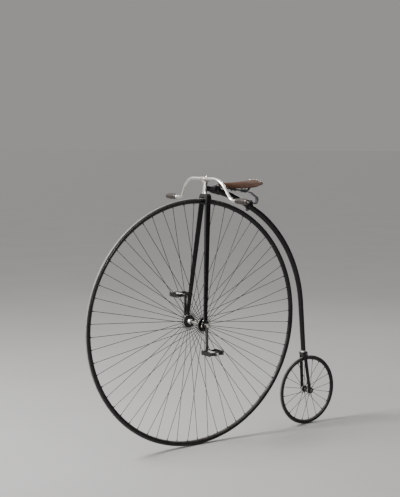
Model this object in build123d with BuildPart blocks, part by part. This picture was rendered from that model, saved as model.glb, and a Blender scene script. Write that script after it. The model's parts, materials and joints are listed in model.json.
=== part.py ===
from build123d import *
import os
from math import acos, asin, atan2, cos, degrees, hypot, pi, radians, sin, sqrt

os.makedirs("parts", exist_ok=True)

# High-wheel bicycle with a 54 in. driving wheel, in millimetres.
# +X is forward, +Y is the rider's left, +Z is up. The origin is the rider's seat, on top of the leather.

# Clearances
running_fit = 0.05        # radial, between a shaft and what turns on it
seat_gap = 0.1            # between pieces that are screwed or cemented together
tyre_clearance = 7.0      # tyre to the crown above it

# Front wheel
wheel_radius = 686.0      # to the tread
tyre_dia = 22.0           # solid rubber
tyre_sides = 11           # flats round a tyre's section
rim_band = 29.0           # tread to the rim's inner edge
rim_lip_width = 24.6      # across the rim's two lips
rim_lip_rise = 1.0        # lips above the tyre's middle
spoke_dia = 2.9
spokes_a_side = 30
spoke_phase = -1.3        # degrees, first left spoke above +X
spoke_rim_spread = 2.0    # from the rim's middle to a spoke's end
spoke_thread = 3.0        # how far a spoke is screwed into its rim

# Front hub
axle_dia = 16.0
flange_dia = 76.0
flange_width = 7.0
flange_span = 139.0       # between the middles of the two flanges
flange_boss_dia = 30.0
flange_boss_width = 5.0   # outwards past the flange
barrel_dia = 20.0
barrel_dome_dia = 34.0    # domes that brace the flanges
barrel_dome_length = 21.0

# Ball bearings at the fork ends
bearing_gap = 1.5         # to the flange's boss, and to the crank's boss
bearing_width = 16.0
bearing_dia = 40.0
bearing_lip_dia = 44.0
bearing_lip_width = 3.0
bearing_seat_height = 27.0   # the leg's seat, above the axle
bearing_seat_length = 27.0   # fore and aft

# Front fork
rake = 4.8                # degrees, lean of the steering axis
crown_thickness = 19.0    # over the tyre
crown_foot_drop = 18.0    # the legs' tops, below the tread
crown_shoulder_rise = 18.0   # straight sides, above the feet
crown_length = 36.0       # fore and aft
crown_foot_inner = 20.5   # from the wheel's middle plane
crown_foot_outer = 38.5
crown_top_width = 50.0
crown_edge = 4.0          # bevel of its upper edges, in front and behind
leg_top_length = 34.0     # fore and aft
leg_top_width = 13.0
leg_bottom_length = 24.0
leg_bottom_width = 10.0

# Steering head, closed in front of the neck's spindle and open behind it
head_height = 84.0        # above the crown's top
head_window_height = 64.0
head_front_gap = 1.2      # spindle to the front wall
head_wall = 5.8           # front wall
head_side_start = 5.0     # steering axis forward to where the wall's sides begin
head_foot_width = 38.0    # on the crown
head_foot_height = 10.0
head_lower_width = 24.0
head_upper_width = 20.0
head_step_height = 42.0   # where it begins to narrow, above the crown's top
head_step_run = 4.0
head_corner = 4.0         # rounding of its front corners
head_block_dia = 28.0     # round the adjusting bolt
centre_dia = 14.0         # the neck's pivot spindle
centre_cone_dia = 11.0    # cone at each of its ends
centre_cone_height = 7.0
centre_float = 2.0        # spindle's shoulders to the crown and to the bolt
head_bolt_dia = 14.0
head_nut_flats = 16.0
head_nut_height = 6.0
head_cap_height = 7.0
head_cap_taper = 20.0     # degrees

# Handlebar
bar_dia = 17.5
bar_lead = 21.0           # ahead of the steering axis
bar_drop_from_top = 2.0   # the bar's middle, below the head's top
bar_lug_dia = 24.0
bar_lug_width = 28.0
bar_lean = 7.1            # degrees, the drops lean back
bar_straight = 90.2      # from the middle to the first bend
bar_slope = 54.4          # degrees, of the drop
bar_upper_bend = 133.0
bar_lower_bend = 40.0
bar_drop_run = 48.2       # straight stretch between the two bends
bar_end_run = 123.0       # straight stretch under the grip
grip_length = 104.0
grip_neck_dia = 24.0
grip_belly_dia = 32.0
grip_end_dia = 26.0
grip_dome = 6.0           # its rounded end

# Cranks
crank_length = 140.0
crank_boss_dia = 28.0
crank_boss_width = 18.0
crank_arm_width_hub = 17.0
crank_arm_width_pedal = 13.5
crank_arm_thickness = 10.0
crank_eye_dia = 24.0
crank_eye_width = 14.0
crank_edge = 1.5          # bevel along the arm
spindle_stud_dia = 12.0
spindle_collar_dia = 19.0
spindle_collar_width = 4.0
spindle_dia = 10.0
spindle_nut_dia = 17.0
spindle_nut_width = 6.0

# Rat-trap pedals
pedal_gap = 2.0           # to the spindle's collar and nut
pedal_width = 80.0        # along the spindle
pedal_length = 92.0       # fore and aft
pedal_plate = 2.4
pedal_end_height = 17.0
pedal_boss_dia = 26.0
pedal_barrel_dia = 18.0
tread_height = 25.0       # between the tips of the teeth
tooth_depth = 4.0
teeth_an_edge = 9
tooth_root = 0.88         # shares of the pitch, a tooth's foot and tip
tooth_tip = 0.28

# Backbone
backbone_dia = 34.0
backbone_end_dia = 28.5
backbone_end_run = 16.0   # straight end in the rear crown
tube_start_back = 108.0   # front axle back to where the tube begins
tube_start_rise = 20.5    # the tube's start, above the crown's top
arc_back = 23.2           # the centre of the curve behind the wheel, from the front axle
arc_drop = 14.1
arc_spread = 42.7         # tread's radius to the curve's radius
arc_start = 125.0         # degrees, where the flatter front curve runs into it
tail_lean = 5.03          # degrees, the straight lower end

# Neck
neck_arm_width = 12.0
neck_arm_height = 30.0
neck_arm_reach = 25.0     # steering axis to where the arm begins to widen
neck_sleeve_length = 44.0
neck_sleeve_dia = 39.0
neck_pad_length = 34.0
neck_pad_width = 24.0
neck_pad_rise = 1.5       # above the sleeve

# Rear wheel
rear_radius = 207.0
wheel_gap = 46.3          # between the two treads
rear_tyre_dia = 19.0
rear_rim_band = 25.0
rear_rim_lip_width = 21.4
rear_spokes_a_side = 10
rear_spoke_phase = 30.0
rear_spoke_dia = 2.7
rear_flange_dia = 42.0
rear_flange_width = 5.0
rear_flange_span = 52.0
rear_barrel_dia = 20.0
rear_axle_dia = 10.0

# Rear fork
rear_crown_height = 22.0
rear_crown_top_width = 38.0
rear_crown_foot = 10.0    # how far its feet reach below the arch
rear_crown_length = 34.0
rear_crown_round = 1.5    # radius of its top edges
rear_crown_corner = 8.0   # radius of its upright corners
rear_blade_top_inner = 16.0  # from the wheel's middle plane
rear_blade_top_length = 24.0
rear_blade_top_width = 7.5
rear_blade_top_lead = 4.0    # ahead of the fork's line, at the crown
rear_blade_foot_lead = 9.0   # and at the axle
rear_blade_bottom_width = 5.0
rear_blade_gap = 3.0      # flange to blade, at the axle
rear_eye_dia = 34.0
rear_nut_dia = 18.0
rear_nut_width = 8.0
rear_stub = 2.0           # the axle's end past its nut
rear_cone_gap = 0.5       # the axle's cone to the flange

# Mounting step
step_plate_length = 28.0  # fore and aft
step_plate_reach = 30.0   # out from the crown's side
step_plate_thickness = 5.0
step_corner = 5.0
step_root = 0.8           # share of the plate's length where it meets the crown
step_ridge_height = 1.8
step_ridges = 5
step_ridge_share = 0.8    # share of the pitch that a ridge takes

# Saddle
seat_setback = 300.0      # front axle to the rider's seat
seat_rise = 25.7          # the backbone's top, at its front end, to the seat
leather_thickness = 4.6
spring_width = 25.0
spring_thickness = 4.5
spring_drop = 62.0        # seat to the spring, under its rear end
spring_back = 66.0        # seat to where the spring begins to curl down
spring_curl = (54.0, 36.0)   # further back and down to the curl's outer corner
spring_tail = 50.0        # length of its end, lying along the backbone
spring_bends = (120.0, 60.0, 18.0, 18.0)   # radii, from the neck back to the clip
spring_lap = 4.0          # flat end on the neck's pad, past the pad
spring_grip = 58.0        # seat back to the clip that holds its end
clip_width = 24.0
clip_wall = 4.0
clip_pad_rise = 2.0       # the clip's flat top, above its ring
frame_bar_width = 16.0
frame_bar_thickness = 4.0
frame_flat = (78.0, -46.0)   # its run along the spring, ahead of the seat
frame_nose = 144.0        # its front end, under the leather's nose
frame_nose_flat = (22.0, 4.0)   # length and fall of the stretch that carries the leather's nose
frame_bends = (8.0, 24.0, 24.0)  # radii, from the nose back
cantle_back = 96.0        # seat back to the middle of the cantle plate
cantle_length = 9.0
cantle_half_width = 66.0
cantle_thickness = 3.0
leather_gap = 1.4         # leather to the cantle plate
nose_gap = 4.0            # leather's crown to the nose bar


def curve_point(centre_x, centre_z, radius, angle):
    """A point of a circle in the bicycle's middle plane, from the front axle."""
    return centre_x + radius * cos(radians(angle)), centre_z + radius * sin(radians(angle))


# Heights of the front fork's crown, along the steering axis from the axle
crown_foot_height = wheel_radius - crown_foot_drop
crown_top_height = wheel_radius + tyre_clearance + crown_thickness

# The backbone's flatter front curve runs from the neck into the main curve
arc_centre_x = -arc_back
arc_centre_z = -arc_drop
arc_radius = wheel_radius + arc_spread
neck_point_x = -tube_start_back
neck_point_z = crown_top_height * cos(radians(rake)) + tube_start_rise
join_x, join_z = curve_point(arc_centre_x, arc_centre_z, arc_radius, arc_start)
chord_x, chord_z = join_x - neck_point_x, join_z - neck_point_z
chord_along_normal = chord_x * cos(radians(arc_start)) + chord_z * sin(radians(arc_start))
front_radius = (chord_x**2 + chord_z**2) / (2 * chord_along_normal)
front_centre_x = join_x - front_radius * cos(radians(arc_start))
front_centre_z = join_z - front_radius * sin(radians(arc_start))


def front_angle(x):
    """Angle on the front curve of the point at x."""
    return degrees(acos((x - front_centre_x) / front_radius))


def tube_middle(x):
    """Height of the backbone's middle at x, from the front axle."""
    return front_centre_z + front_radius * sin(radians(front_angle(x)))


def tube_top(x):
    """Height of the backbone's top at x, from the front axle."""
    return tube_middle(x) + backbone_dia / 2 / sin(radians(front_angle(x)))


# The front axle, from the seat
hub_x = seat_setback
hub_z = -(tube_top(neck_point_x) + seat_rise)
hub = Vector(hub_x, 0, hub_z)
axle_direction = Vector(0, 1, 0)


def from_hub(x, z, y=0):
    """A point given by its distances from the front axle's middle."""
    return Vector(hub_x + x, y, hub_z + z)


def wheel_plane(centre):
    """Section plane of a wheel: x along the axle, y outwards."""
    return Plane(origin=centre, x_dir=(0, 1, 0), z_dir=(1, 0, 0))


def steering_plane(height):
    """Plane square to the steering axis: x forward, y to the left, at a height along the axis."""
    lean = radians(rake)
    plane = Plane(origin=hub, x_dir=(cos(lean), 0, sin(lean)), z_dir=(-sin(lean), 0, cos(lean)))
    return plane.offset(height)


def steering_point(forward, side, height):
    """A point in the steering head's own directions."""
    return steering_plane(height).from_local_coords(Vector(forward, side, 0))


def steering_profile(forward=0):
    """Profile plane of the steering head: x to the left, y up along the axis."""
    lean = radians(rake)
    origin = steering_point(forward, 0, 0)
    return Plane(origin=origin, x_dir=(0, 1, 0), z_dir=(cos(lean), 0, sin(lean)))


def spoke_planes(centre, count, phase, side, flange_half, hub_reach, rim_reach, rim_spread):
    """Start planes of one side's spokes, and their length."""
    planes = []
    for k in range(count):
        angle = radians(phase + 360 / count * k)
        out = Vector(cos(angle), 0, sin(angle))
        start = centre + out * hub_reach + axle_direction * side * flange_half
        end = centre + out * rim_reach + axle_direction * side * rim_spread
        planes.append(Plane(origin=start, z_dir=end - start))
    return planes, (end - start).length


# Front tyre and rim
seat_radius = tyre_dia / 2 + seat_gap
lip_height = wheel_radius - tyre_dia / 2 + rim_lip_rise
seat_half = sqrt(seat_radius**2 - rim_lip_rise**2)

with BuildPart() as front_tyre:
    with BuildSketch(wheel_plane(hub)):
        with Locations((0, wheel_radius - tyre_dia / 2)):
            RegularPolygon(tyre_dia / 2, tyre_sides, rotation=90)
    revolve(axis=Axis(hub, axle_direction))

with BuildPart() as front_rim:
    with BuildSketch(wheel_plane(hub)):
        with BuildLine():
            rim_back = ThreePointArc(
                (-rim_lip_width / 2, lip_height),
                (0, wheel_radius - rim_band),
                (rim_lip_width / 2, lip_height),
            )
            Line(rim_back @ 1, (seat_half, lip_height))
            ThreePointArc(
                (seat_half, lip_height),
                (0, wheel_radius - tyre_dia / 2 - seat_radius),
                (-seat_half, lip_height),
            )
            Line((-seat_half, lip_height), rim_back @ 0)
        make_face()
    revolve(axis=Axis(hub, axle_direction))

# Front hub: axle, barrel with domed ends, and two flanges with their spokes
flange_inner = flange_span / 2 - flange_width / 2
flange_outer = flange_span / 2 + flange_width / 2
boss_outer = flange_outer + flange_boss_width
bearing_inner = boss_outer + bearing_gap
bearing_outer = bearing_inner + bearing_width
crank_inner = bearing_outer + bearing_gap
crank_outer = crank_inner + crank_boss_width
bore_radius = axle_dia / 2 + running_fit

with BuildPart() as front_axle:
    with BuildSketch(Plane(origin=hub, x_dir=(1, 0, 0), z_dir=(0, 1, 0))):
        Circle(axle_dia / 2)
    extrude(amount=crank_outer, both=True)

with BuildPart() as front_hub:
    with BuildSketch(wheel_plane(hub)):
        with BuildLine():
            dome_foot = flange_inner - barrel_dome_length
            dome_curve = TangentArc(
                (flange_inner, barrel_dome_dia / 2), (dome_foot, barrel_dia / 2), tangent=(-1, 0)
            )
            Polyline(
                dome_curve @ 1,
                (0, barrel_dia / 2),
                (0, bore_radius),
                (flange_inner, bore_radius),
                dome_curve @ 0,
            )
        make_face()
        mirror(about=Plane.YZ)
    revolve(axis=Axis(hub, axle_direction))

front_spokes = {}
for side, name in ((1, "left"), (-1, "right")):
    rim_reach = wheel_radius - rim_band + spoke_thread
    hub_reach = flange_dia / 2 - flange_width
    phase = spoke_phase + (0 if side > 0 else 180 / spokes_a_side)
    planes, length = spoke_planes(
        hub, spokes_a_side, phase, side, flange_span / 2, hub_reach, rim_reach, spoke_rim_spread
    )
    with BuildPart() as spokes:
        with BuildSketch(wheel_plane(hub)):
            with BuildLine():
                Polyline(
                    (side * flange_inner, bore_radius),
                    (side * flange_inner, flange_dia / 2),
                    (side * flange_outer, flange_dia / 2),
                    (side * flange_outer, flange_boss_dia / 2),
                    (side * boss_outer, flange_boss_dia / 2),
                    (side * boss_outer, bore_radius),
                    close=True,
                )
            make_face()
        revolve(axis=Axis(hub, axle_direction))
        with BuildSketch(*planes):
            Circle(spoke_dia / 2)
        extrude(amount=length)
    front_spokes[name] = spokes

# Ball bearings, legs, crown and head of the front fork
bearing_middle = (bearing_inner + bearing_outer) / 2
leg_top_middle = (crown_foot_inner + crown_foot_outer) / 2
bearings = {}
fork_legs = {}
for side, name in ((1, "left"), (-1, "right")):
    with BuildPart() as bearing:
        inner_face = Plane(origin=hub + axle_direction * side * bearing_inner, z_dir=(0, side, 0))
        with BuildSketch(inner_face):
            Circle(bearing_lip_dia / 2)
        extrude(amount=bearing_width)
        with BuildSketch(inner_face.offset(bearing_lip_width)):
            Circle(bearing_lip_dia / 2)
            Circle(bearing_dia / 2, mode=Mode.SUBTRACT)
        extrude(amount=bearing_width - 2 * bearing_lip_width, mode=Mode.SUBTRACT)
        with BuildSketch(steering_plane(0)):
            with Locations((0, side * bearing_middle)):
                Rectangle(bearing_seat_length, bearing_width - 2 * bearing_lip_width)
        extrude(amount=bearing_seat_height)
        with BuildSketch(Plane(origin=hub, z_dir=(0, side, 0))):
            Circle(bore_radius)
        extrude(amount=bearing_outer + bearing_gap, mode=Mode.SUBTRACT)
    bearings[name] = bearing
    with BuildPart() as leg:
        with BuildSketch(steering_plane(bearing_seat_height)):
            with Locations((0, side * bearing_middle)):
                SlotOverall(leg_bottom_length, leg_bottom_width)
        with BuildSketch(steering_plane(crown_foot_height)):
            with Locations((0, side * leg_top_middle)):
                SlotOverall(leg_top_length, leg_top_width)
        loft(ruled=True)
    fork_legs[name] = leg

arch_radius = crown_foot_inner
arch_centre_height = wheel_radius + tyre_clearance - arch_radius
half_top = crown_top_width / 2
shoulder_height = crown_foot_height + crown_shoulder_rise
socket_depth = centre_cone_height + seat_gap
cone_taper = degrees(atan2(centre_cone_dia / 2, centre_cone_height + centre_float))

with BuildPart() as fork_crown:
    with BuildSketch(steering_profile()):
        with BuildLine():
            Line((crown_foot_inner, arch_centre_height), (crown_foot_inner, crown_foot_height))
            Line((crown_foot_inner, crown_foot_height), (crown_foot_outer, crown_foot_height))
            Line((crown_foot_outer, crown_foot_height), (crown_foot_outer, shoulder_height))
            TangentArc((crown_foot_outer, shoulder_height), (half_top, crown_top_height), tangent=(0, 1))
            Line((half_top, crown_top_height), (0, crown_top_height))
            Line((0, crown_top_height), (0, wheel_radius + tyre_clearance))
            ThreePointArc(
                (0, wheel_radius + tyre_clearance),
                (arch_radius * sin(pi / 4), arch_centre_height + arch_radius * cos(pi / 4)),
                (crown_foot_inner, arch_centre_height),
            )
        make_face()
        mirror(about=Plane.YZ)
    extrude(amount=crown_length / 2, both=True)
    crown_faces = fork_crown.faces().sort_by(Axis.X)
    arch_top = steering_point(0, 0, wheel_radius + tyre_clearance).Z
    crown_edges = crown_faces[0].edges() + crown_faces[-1].edges()
    chamfer(crown_edges.filter_by(lambda edge: edge.center().Z > arch_top), crown_edge)
    with BuildSketch(steering_plane(crown_top_height)):
        Circle(centre_cone_dia / 2 + running_fit)
    extrude(amount=-socket_depth, taper=cone_taper, mode=Mode.SUBTRACT)

head_top = crown_top_height + head_height
window_top = crown_top_height + head_window_height
bar_height = head_top - bar_drop_from_top
bar_centre = steering_point(bar_lead, 0, bar_height)

head_front = centre_dia / 2 + head_front_gap + head_wall
head_stages = (
    (0, head_foot_width),
    (head_foot_height, head_lower_width),
    (head_step_height, head_lower_width),
    (head_step_height + head_step_run, head_upper_width),
    (head_window_height, head_upper_width),
)

with BuildPart() as steering_head:
    for lower, upper in zip(head_stages, head_stages[1:]):
        for height, width in (lower, upper):
            with BuildSketch(steering_plane(crown_top_height + height)):
                RectangleRounded(2 * head_front, width, head_corner)
        loft(ruled=True)
    with BuildSketch(steering_plane(window_top)):
        Circle(head_block_dia / 2)
        with Locations((bar_lead / 2, 0)):
            Rectangle(bar_lead, bar_lug_width)
    extrude(amount=head_top - window_top)
    with BuildSketch(Plane(origin=bar_centre, z_dir=(0, 1, 0))):
        Circle(bar_lug_dia / 2)
    extrude(amount=bar_lug_width / 2, both=True)
    with BuildSketch(steering_plane(crown_top_height)):
        Circle(centre_dia / 2 + head_front_gap)
        with Locations((head_side_start - head_front, 0)):
            Rectangle(2 * head_front, head_foot_width)
    extrude(amount=head_window_height, mode=Mode.SUBTRACT)
    with BuildSketch(Plane(origin=bar_centre, z_dir=(0, 1, 0))):
        Circle(bar_dia / 2 + seat_gap)
    extrude(amount=bar_lug_width, both=True, mode=Mode.SUBTRACT)
    with BuildSketch(steering_plane(window_top)):
        Circle(head_bolt_dia / 2 + running_fit)
    extrude(amount=bar_lug_dia, mode=Mode.SUBTRACT)

with BuildPart() as head_bolt:
    with BuildSketch(steering_plane(window_top)):
        Circle(head_bolt_dia / 2)
    extrude(amount=head_height - head_window_height)
    with BuildSketch(steering_plane(head_top)):
        RegularPolygon(head_nut_flats / 2, 6, major_radius=False, rotation=30)
    extrude(amount=head_nut_height)
    with BuildSketch(steering_plane(head_top + head_nut_height)):
        Circle(head_bolt_dia / 2)
    extrude(amount=head_cap_height, taper=head_cap_taper)
    with BuildSketch(steering_plane(window_top)):
        Circle(centre_cone_dia / 2 + running_fit)
    extrude(amount=socket_depth, taper=cone_taper, mode=Mode.SUBTRACT)

# Handlebar and grips
bar_tilt = radians(bar_lean)
bar_plane = Plane(origin=bar_centre, x_dir=(0, 1, 0), z_dir=(cos(bar_tilt), 0, -sin(bar_tilt)))

handlebar_halves = {}
with BuildPart() as handlebar:
    for side in (1, -1):
        with BuildLine(bar_plane) as bar_path:
            top_run = Line((0, 0), (side * bar_straight, 0))
            upper = JernArc(top_run @ 1, top_run % 1, bar_upper_bend, -side * bar_slope)
            drop = Line(upper @ 1, upper @ 1 + (upper % 1) * bar_drop_run)
            lower = JernArc(drop @ 1, drop % 1, bar_lower_bend, side * bar_slope)
            end_run = Line(lower @ 1, lower @ 1 + (lower % 1) * bar_end_run)
        with BuildSketch(Plane(origin=bar_centre, z_dir=(0, side, 0))):
            Circle(bar_dia / 2)
        sweep(path=bar_path.line)
        handlebar_halves[side] = (end_run @ 1, end_run % 1)

dome_radius = (grip_end_dia**2 / 4 + grip_dome**2) / (2 * grip_dome)
dome_centre = grip_length + grip_dome - dome_radius
dome_angle = degrees(asin(grip_end_dia / 2 / dome_radius))
grips = {}
for side, name in ((1, "left"), (-1, "right")):
    end, outward = handlebar_halves[side]
    start = end - outward * (grip_length - seat_gap)
    with BuildPart() as grip:
        with BuildSketch(Plane(origin=start, x_dir=outward, z_dir=(1, 0, 0))):
            with BuildLine():
                belly = ThreePointArc(
                    (0, grip_neck_dia / 2),
                    (grip_length - grip_end_dia, grip_belly_dia / 2),
                    (grip_length, grip_end_dia / 2),
                )
                dome = CenterArc((dome_centre, 0), dome_radius, dome_angle, -dome_angle)
                Polyline(
                    dome @ 1,
                    (grip_length, 0),
                    (grip_length, bar_dia / 2 + seat_gap),
                    (0, bar_dia / 2 + seat_gap),
                    belly @ 0,
                )
            make_face()
        revolve(axis=Axis(start, outward))
    grips[name] = grip

# Cranks, pedal spindles and rat-trap pedals
eye_inner = crank_inner + (crank_boss_width - crank_eye_width) / 2
eye_outer = eye_inner + crank_eye_width
arm_inner = crank_inner + (crank_boss_width - crank_arm_thickness) / 2
collar_outer = eye_outer + spindle_collar_width
pedal_inner = collar_outer + pedal_gap
pedal_outer = pedal_inner + pedal_width
spindle_end = pedal_outer + pedal_gap
journal_radius = spindle_dia / 2 + running_fit

cranks = {}
spindles = {}
pedal_cages = {}
pedal_barrels = {}
for side, name in ((1, "left"), (-1, "right")):
    pedal_centre = hub + Vector(0, 0, -side * crank_length)

    def across(centre, distance):
        """Plane square to the axle, at a distance out from the middle, looking outwards."""
        return Plane(origin=centre + axle_direction * side * distance, x_dir=(1, 0, 0), z_dir=(0, side, 0))

    with BuildPart() as crank:
        with BuildSketch(across(hub, arm_inner)):
            Circle(crank_arm_width_hub / 2)
            with Locations((0, crank_length)):
                Circle(crank_arm_width_pedal / 2)
            make_hull()
        extrude(amount=crank_arm_thickness)
        arm_faces = crank.faces().sort_by(Axis.Y)
        chamfer(arm_faces[0].edges() + arm_faces[-1].edges(), crank_edge)
        with BuildSketch(across(hub, crank_inner)):
            Circle(crank_boss_dia / 2)
        extrude(amount=crank_boss_width)
        with BuildSketch(across(pedal_centre, eye_inner)):
            Circle(crank_eye_dia / 2)
        extrude(amount=crank_eye_width)
        with BuildSketch(across(hub, crank_inner)):
            Circle(bore_radius)
        extrude(amount=crank_boss_width, mode=Mode.SUBTRACT)
        with BuildSketch(across(pedal_centre, eye_inner)):
            Circle(spindle_stud_dia / 2 + seat_gap)
        extrude(amount=crank_eye_width, mode=Mode.SUBTRACT)
    cranks[name] = crank

    with BuildPart() as spindle:
        for inner, outer, dia in (
            (eye_inner, eye_outer, spindle_stud_dia),
            (eye_outer, collar_outer, spindle_collar_dia),
            (collar_outer, spindle_end, spindle_dia),
            (spindle_end, spindle_end + spindle_nut_width, spindle_nut_dia),
        ):
            with BuildSketch(across(pedal_centre, inner)):
                Circle(dia / 2)
            extrude(amount=outer - inner)
    spindles[name] = spindle

    with BuildPart() as cage:
        for inner in (pedal_inner, pedal_outer - pedal_plate):
            with BuildSketch(across(pedal_centre, inner)):
                Rectangle(pedal_length, pedal_end_height)
                Circle(pedal_boss_dia / 2)
                Circle(journal_radius, mode=Mode.SUBTRACT)
            extrude(amount=pedal_plate)
        pitch = pedal_width / teeth_an_edge
        root = tread_height / 2 - tooth_depth
        for end in (1, -1):
            face = Plane(
                origin=pedal_centre + Vector(end * pedal_length / 2, side * pedal_inner, 0),
                x_dir=(0, side, 0),
                z_dir=(-end, 0, 0),
            )
            with BuildSketch(face):
                with Locations((pedal_width / 2, 0)):
                    Rectangle(pedal_width, 2 * root)
                for edge in (1, -1):
                    for k in range(teeth_an_edge):
                        with BuildLine():
                            Polyline(
                                (pitch * (k + 0.5 - tooth_root / 2), edge * root),
                                (pitch * (k + 0.5 - tooth_tip / 2), edge * (root + tooth_depth)),
                                (pitch * (k + 0.5 + tooth_tip / 2), edge * (root + tooth_depth)),
                                (pitch * (k + 0.5 + tooth_root / 2), edge * root),
                                close=True,
                            )
                        make_face()
            extrude(amount=pedal_plate)
    pedal_cages[name] = cage

    with BuildPart() as pedal_barrel:
        with BuildSketch(across(pedal_centre, pedal_inner + pedal_plate)):
            Circle(pedal_barrel_dia / 2)
            Circle(journal_radius, mode=Mode.SUBTRACT)
        extrude(amount=pedal_width - 2 * pedal_plate)
    pedal_barrels[name] = pedal_barrel

# Backbone: a constant tube over the wheel's front, tapering down behind it
tail_angle = 180 - tail_lean
tail_x, tail_z = curve_point(arc_centre_x, arc_centre_z, arc_radius, tail_angle)
wheelbase = sqrt((wheel_radius + rear_radius + wheel_gap) ** 2 - (wheel_radius - rear_radius) ** 2)
rear_axle_x = -wheelbase
rear_axle_z = rear_radius - wheel_radius
crown_underside = rear_radius + tyre_clearance
crown_middle = crown_underside + rear_crown_height / 2

# Where the tube's straight end comes to the rear crown's height
crown_lift = rear_axle_z + crown_middle
tail_run = (tail_z - crown_lift) / cos(radians(tail_lean))
end_x = tail_x - tail_run * sin(radians(tail_lean))
end_z = tail_z - tail_run * cos(radians(tail_lean))

# The rear fork runs from there to the axle
fork_lean = atan2(end_x - rear_axle_x, end_z - rear_axle_z)
rear_axle = from_hub(rear_axle_x, rear_axle_z)


def rear_plane(height):
    """Plane square to the rear fork: x forward, y to the left, at a height from the axle."""
    plane = Plane(
        origin=rear_axle,
        x_dir=(cos(fork_lean), 0, -sin(fork_lean)),
        z_dir=(sin(fork_lean), 0, cos(fork_lean)),
    )
    return plane.offset(height)


start_angle = front_angle(neck_point_x)
middle_angle = (start_angle + arc_start) / 2


def path_point(centre_x, centre_z, radius, angle):
    """A point of the backbone's curve in the profile plane's coordinates."""
    x, z = curve_point(centre_x, centre_z, radius, angle)
    return hub_x + x, hub_z + z


with BuildPart() as backbone:
    with BuildLine(Plane.XZ) as front_path:
        ThreePointArc(
            path_point(front_centre_x, front_centre_z, front_radius, start_angle),
            path_point(front_centre_x, front_centre_z, front_radius, middle_angle),
            path_point(front_centre_x, front_centre_z, front_radius, arc_start),
        )
    with BuildSketch(Plane(origin=front_path.line @ 0, z_dir=front_path.line % 0)):
        Circle(backbone_dia / 2)
    sweep(path=front_path.line)
    with BuildLine(Plane.XZ) as rear_path:
        main_arc = ThreePointArc(
            path_point(arc_centre_x, arc_centre_z, arc_radius, arc_start),
            path_point(arc_centre_x, arc_centre_z, arc_radius, (arc_start + tail_angle) / 2),
            path_point(arc_centre_x, arc_centre_z, arc_radius, tail_angle),
        )
        tail_direction = main_arc % 1
        Line(main_arc @ 1, main_arc @ 1 + tail_direction * (tail_run - backbone_end_run))
    with BuildSketch(Plane(origin=rear_path.line @ 0, z_dir=rear_path.line % 0)):
        Circle(backbone_dia / 2)
    with BuildSketch(Plane(origin=rear_path.line @ 1, z_dir=rear_path.line % 1)):
        Circle(backbone_end_dia / 2)
    sweep(path=rear_path.line, multisection=True)
    with BuildSketch(Plane(origin=rear_path.line @ 1, z_dir=rear_path.line % 1)):
        Circle(backbone_end_dia / 2)
    extrude(amount=backbone_end_run)

# Neck: pivot spindle between two cones, an arm back out of the head, and a sleeve round the tube
tube_start = front_path.line @ 0
tube_direction = front_path.line % 0
neck_forward = tube_direction * -1
axis_distance = (tube_start - hub).dot(steering_plane(0).x_dir) / neck_forward.dot(steering_plane(0).x_dir)
arm_start = tube_start - neck_forward * axis_distance
spindle_bottom = crown_top_height + centre_float
spindle_top = window_top - centre_float

with BuildPart() as neck:
    with BuildSketch(steering_plane(spindle_bottom)):
        Circle(centre_dia / 2)
    extrude(amount=spindle_top - spindle_bottom)
    with BuildSketch(steering_plane(crown_top_height)):
        Circle(centre_cone_dia / 2)
    extrude(amount=centre_float)
    with BuildSketch(steering_plane(crown_top_height)):
        Circle(centre_cone_dia / 2)
    extrude(amount=-centre_cone_height, taper=cone_taper)
    with BuildSketch(steering_plane(spindle_top)):
        Circle(centre_cone_dia / 2)
    extrude(amount=centre_float)
    with BuildSketch(steering_plane(window_top)):
        Circle(centre_cone_dia / 2)
    extrude(amount=centre_cone_height, taper=cone_taper)
    with BuildSketch(Plane(origin=arm_start, x_dir=(0, 1, 0), z_dir=tube_direction)):
        SlotOverall(neck_arm_height, neck_arm_width, rotation=90)
    extrude(amount=neck_arm_reach)
    arm_end = arm_start + tube_direction * neck_arm_reach
    with BuildSketch(Plane(origin=arm_end, x_dir=(0, 1, 0), z_dir=tube_direction)):
        SlotOverall(neck_arm_height, neck_arm_width, rotation=90)
    with BuildSketch(Plane(origin=tube_start, x_dir=(0, 1, 0), z_dir=tube_direction)):
        Circle(neck_sleeve_dia / 2)
    loft(ruled=True)
    sleeve_turn = degrees(neck_sleeve_length / front_radius)
    with BuildLine(Plane.XZ) as sleeve_path:
        ThreePointArc(
            path_point(front_centre_x, front_centre_z, front_radius, start_angle),
            path_point(front_centre_x, front_centre_z, front_radius, start_angle + sleeve_turn / 2),
            path_point(front_centre_x, front_centre_z, front_radius, start_angle + sleeve_turn),
        )
    with BuildSketch(Plane(origin=tube_start, z_dir=tube_direction)):
        Circle(neck_sleeve_dia / 2)
    sweep(path=sleeve_path.line)
    pad_middle = sleeve_path.line @ 0.5
    pad_back = sleeve_path.line % 0.5
    pad_plane = Plane(origin=pad_middle, x_dir=pad_back, z_dir=(pad_back.Z, 0, -pad_back.X))
    with BuildSketch(pad_plane):
        Rectangle(neck_pad_length, neck_pad_width)
    extrude(amount=neck_sleeve_dia / 2 + neck_pad_rise)
    with BuildSketch(Plane(origin=tube_start, z_dir=tube_direction)):
        Circle(backbone_dia / 2 + running_fit)
    sweep(path=sleeve_path.line, mode=Mode.SUBTRACT)

# Rear fork: crown, two blades with eyes, and the fixed axle
blade_top_middle = rear_blade_top_inner + rear_blade_top_width / 2
rear_crown_outer = rear_blade_top_inner + rear_blade_top_width
crown_foot = crown_underside - rear_crown_foot
crown_top = crown_underside + rear_crown_height
rear_profile = Plane(origin=rear_axle, x_dir=(0, 1, 0), z_dir=rear_plane(0).x_dir)

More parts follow.
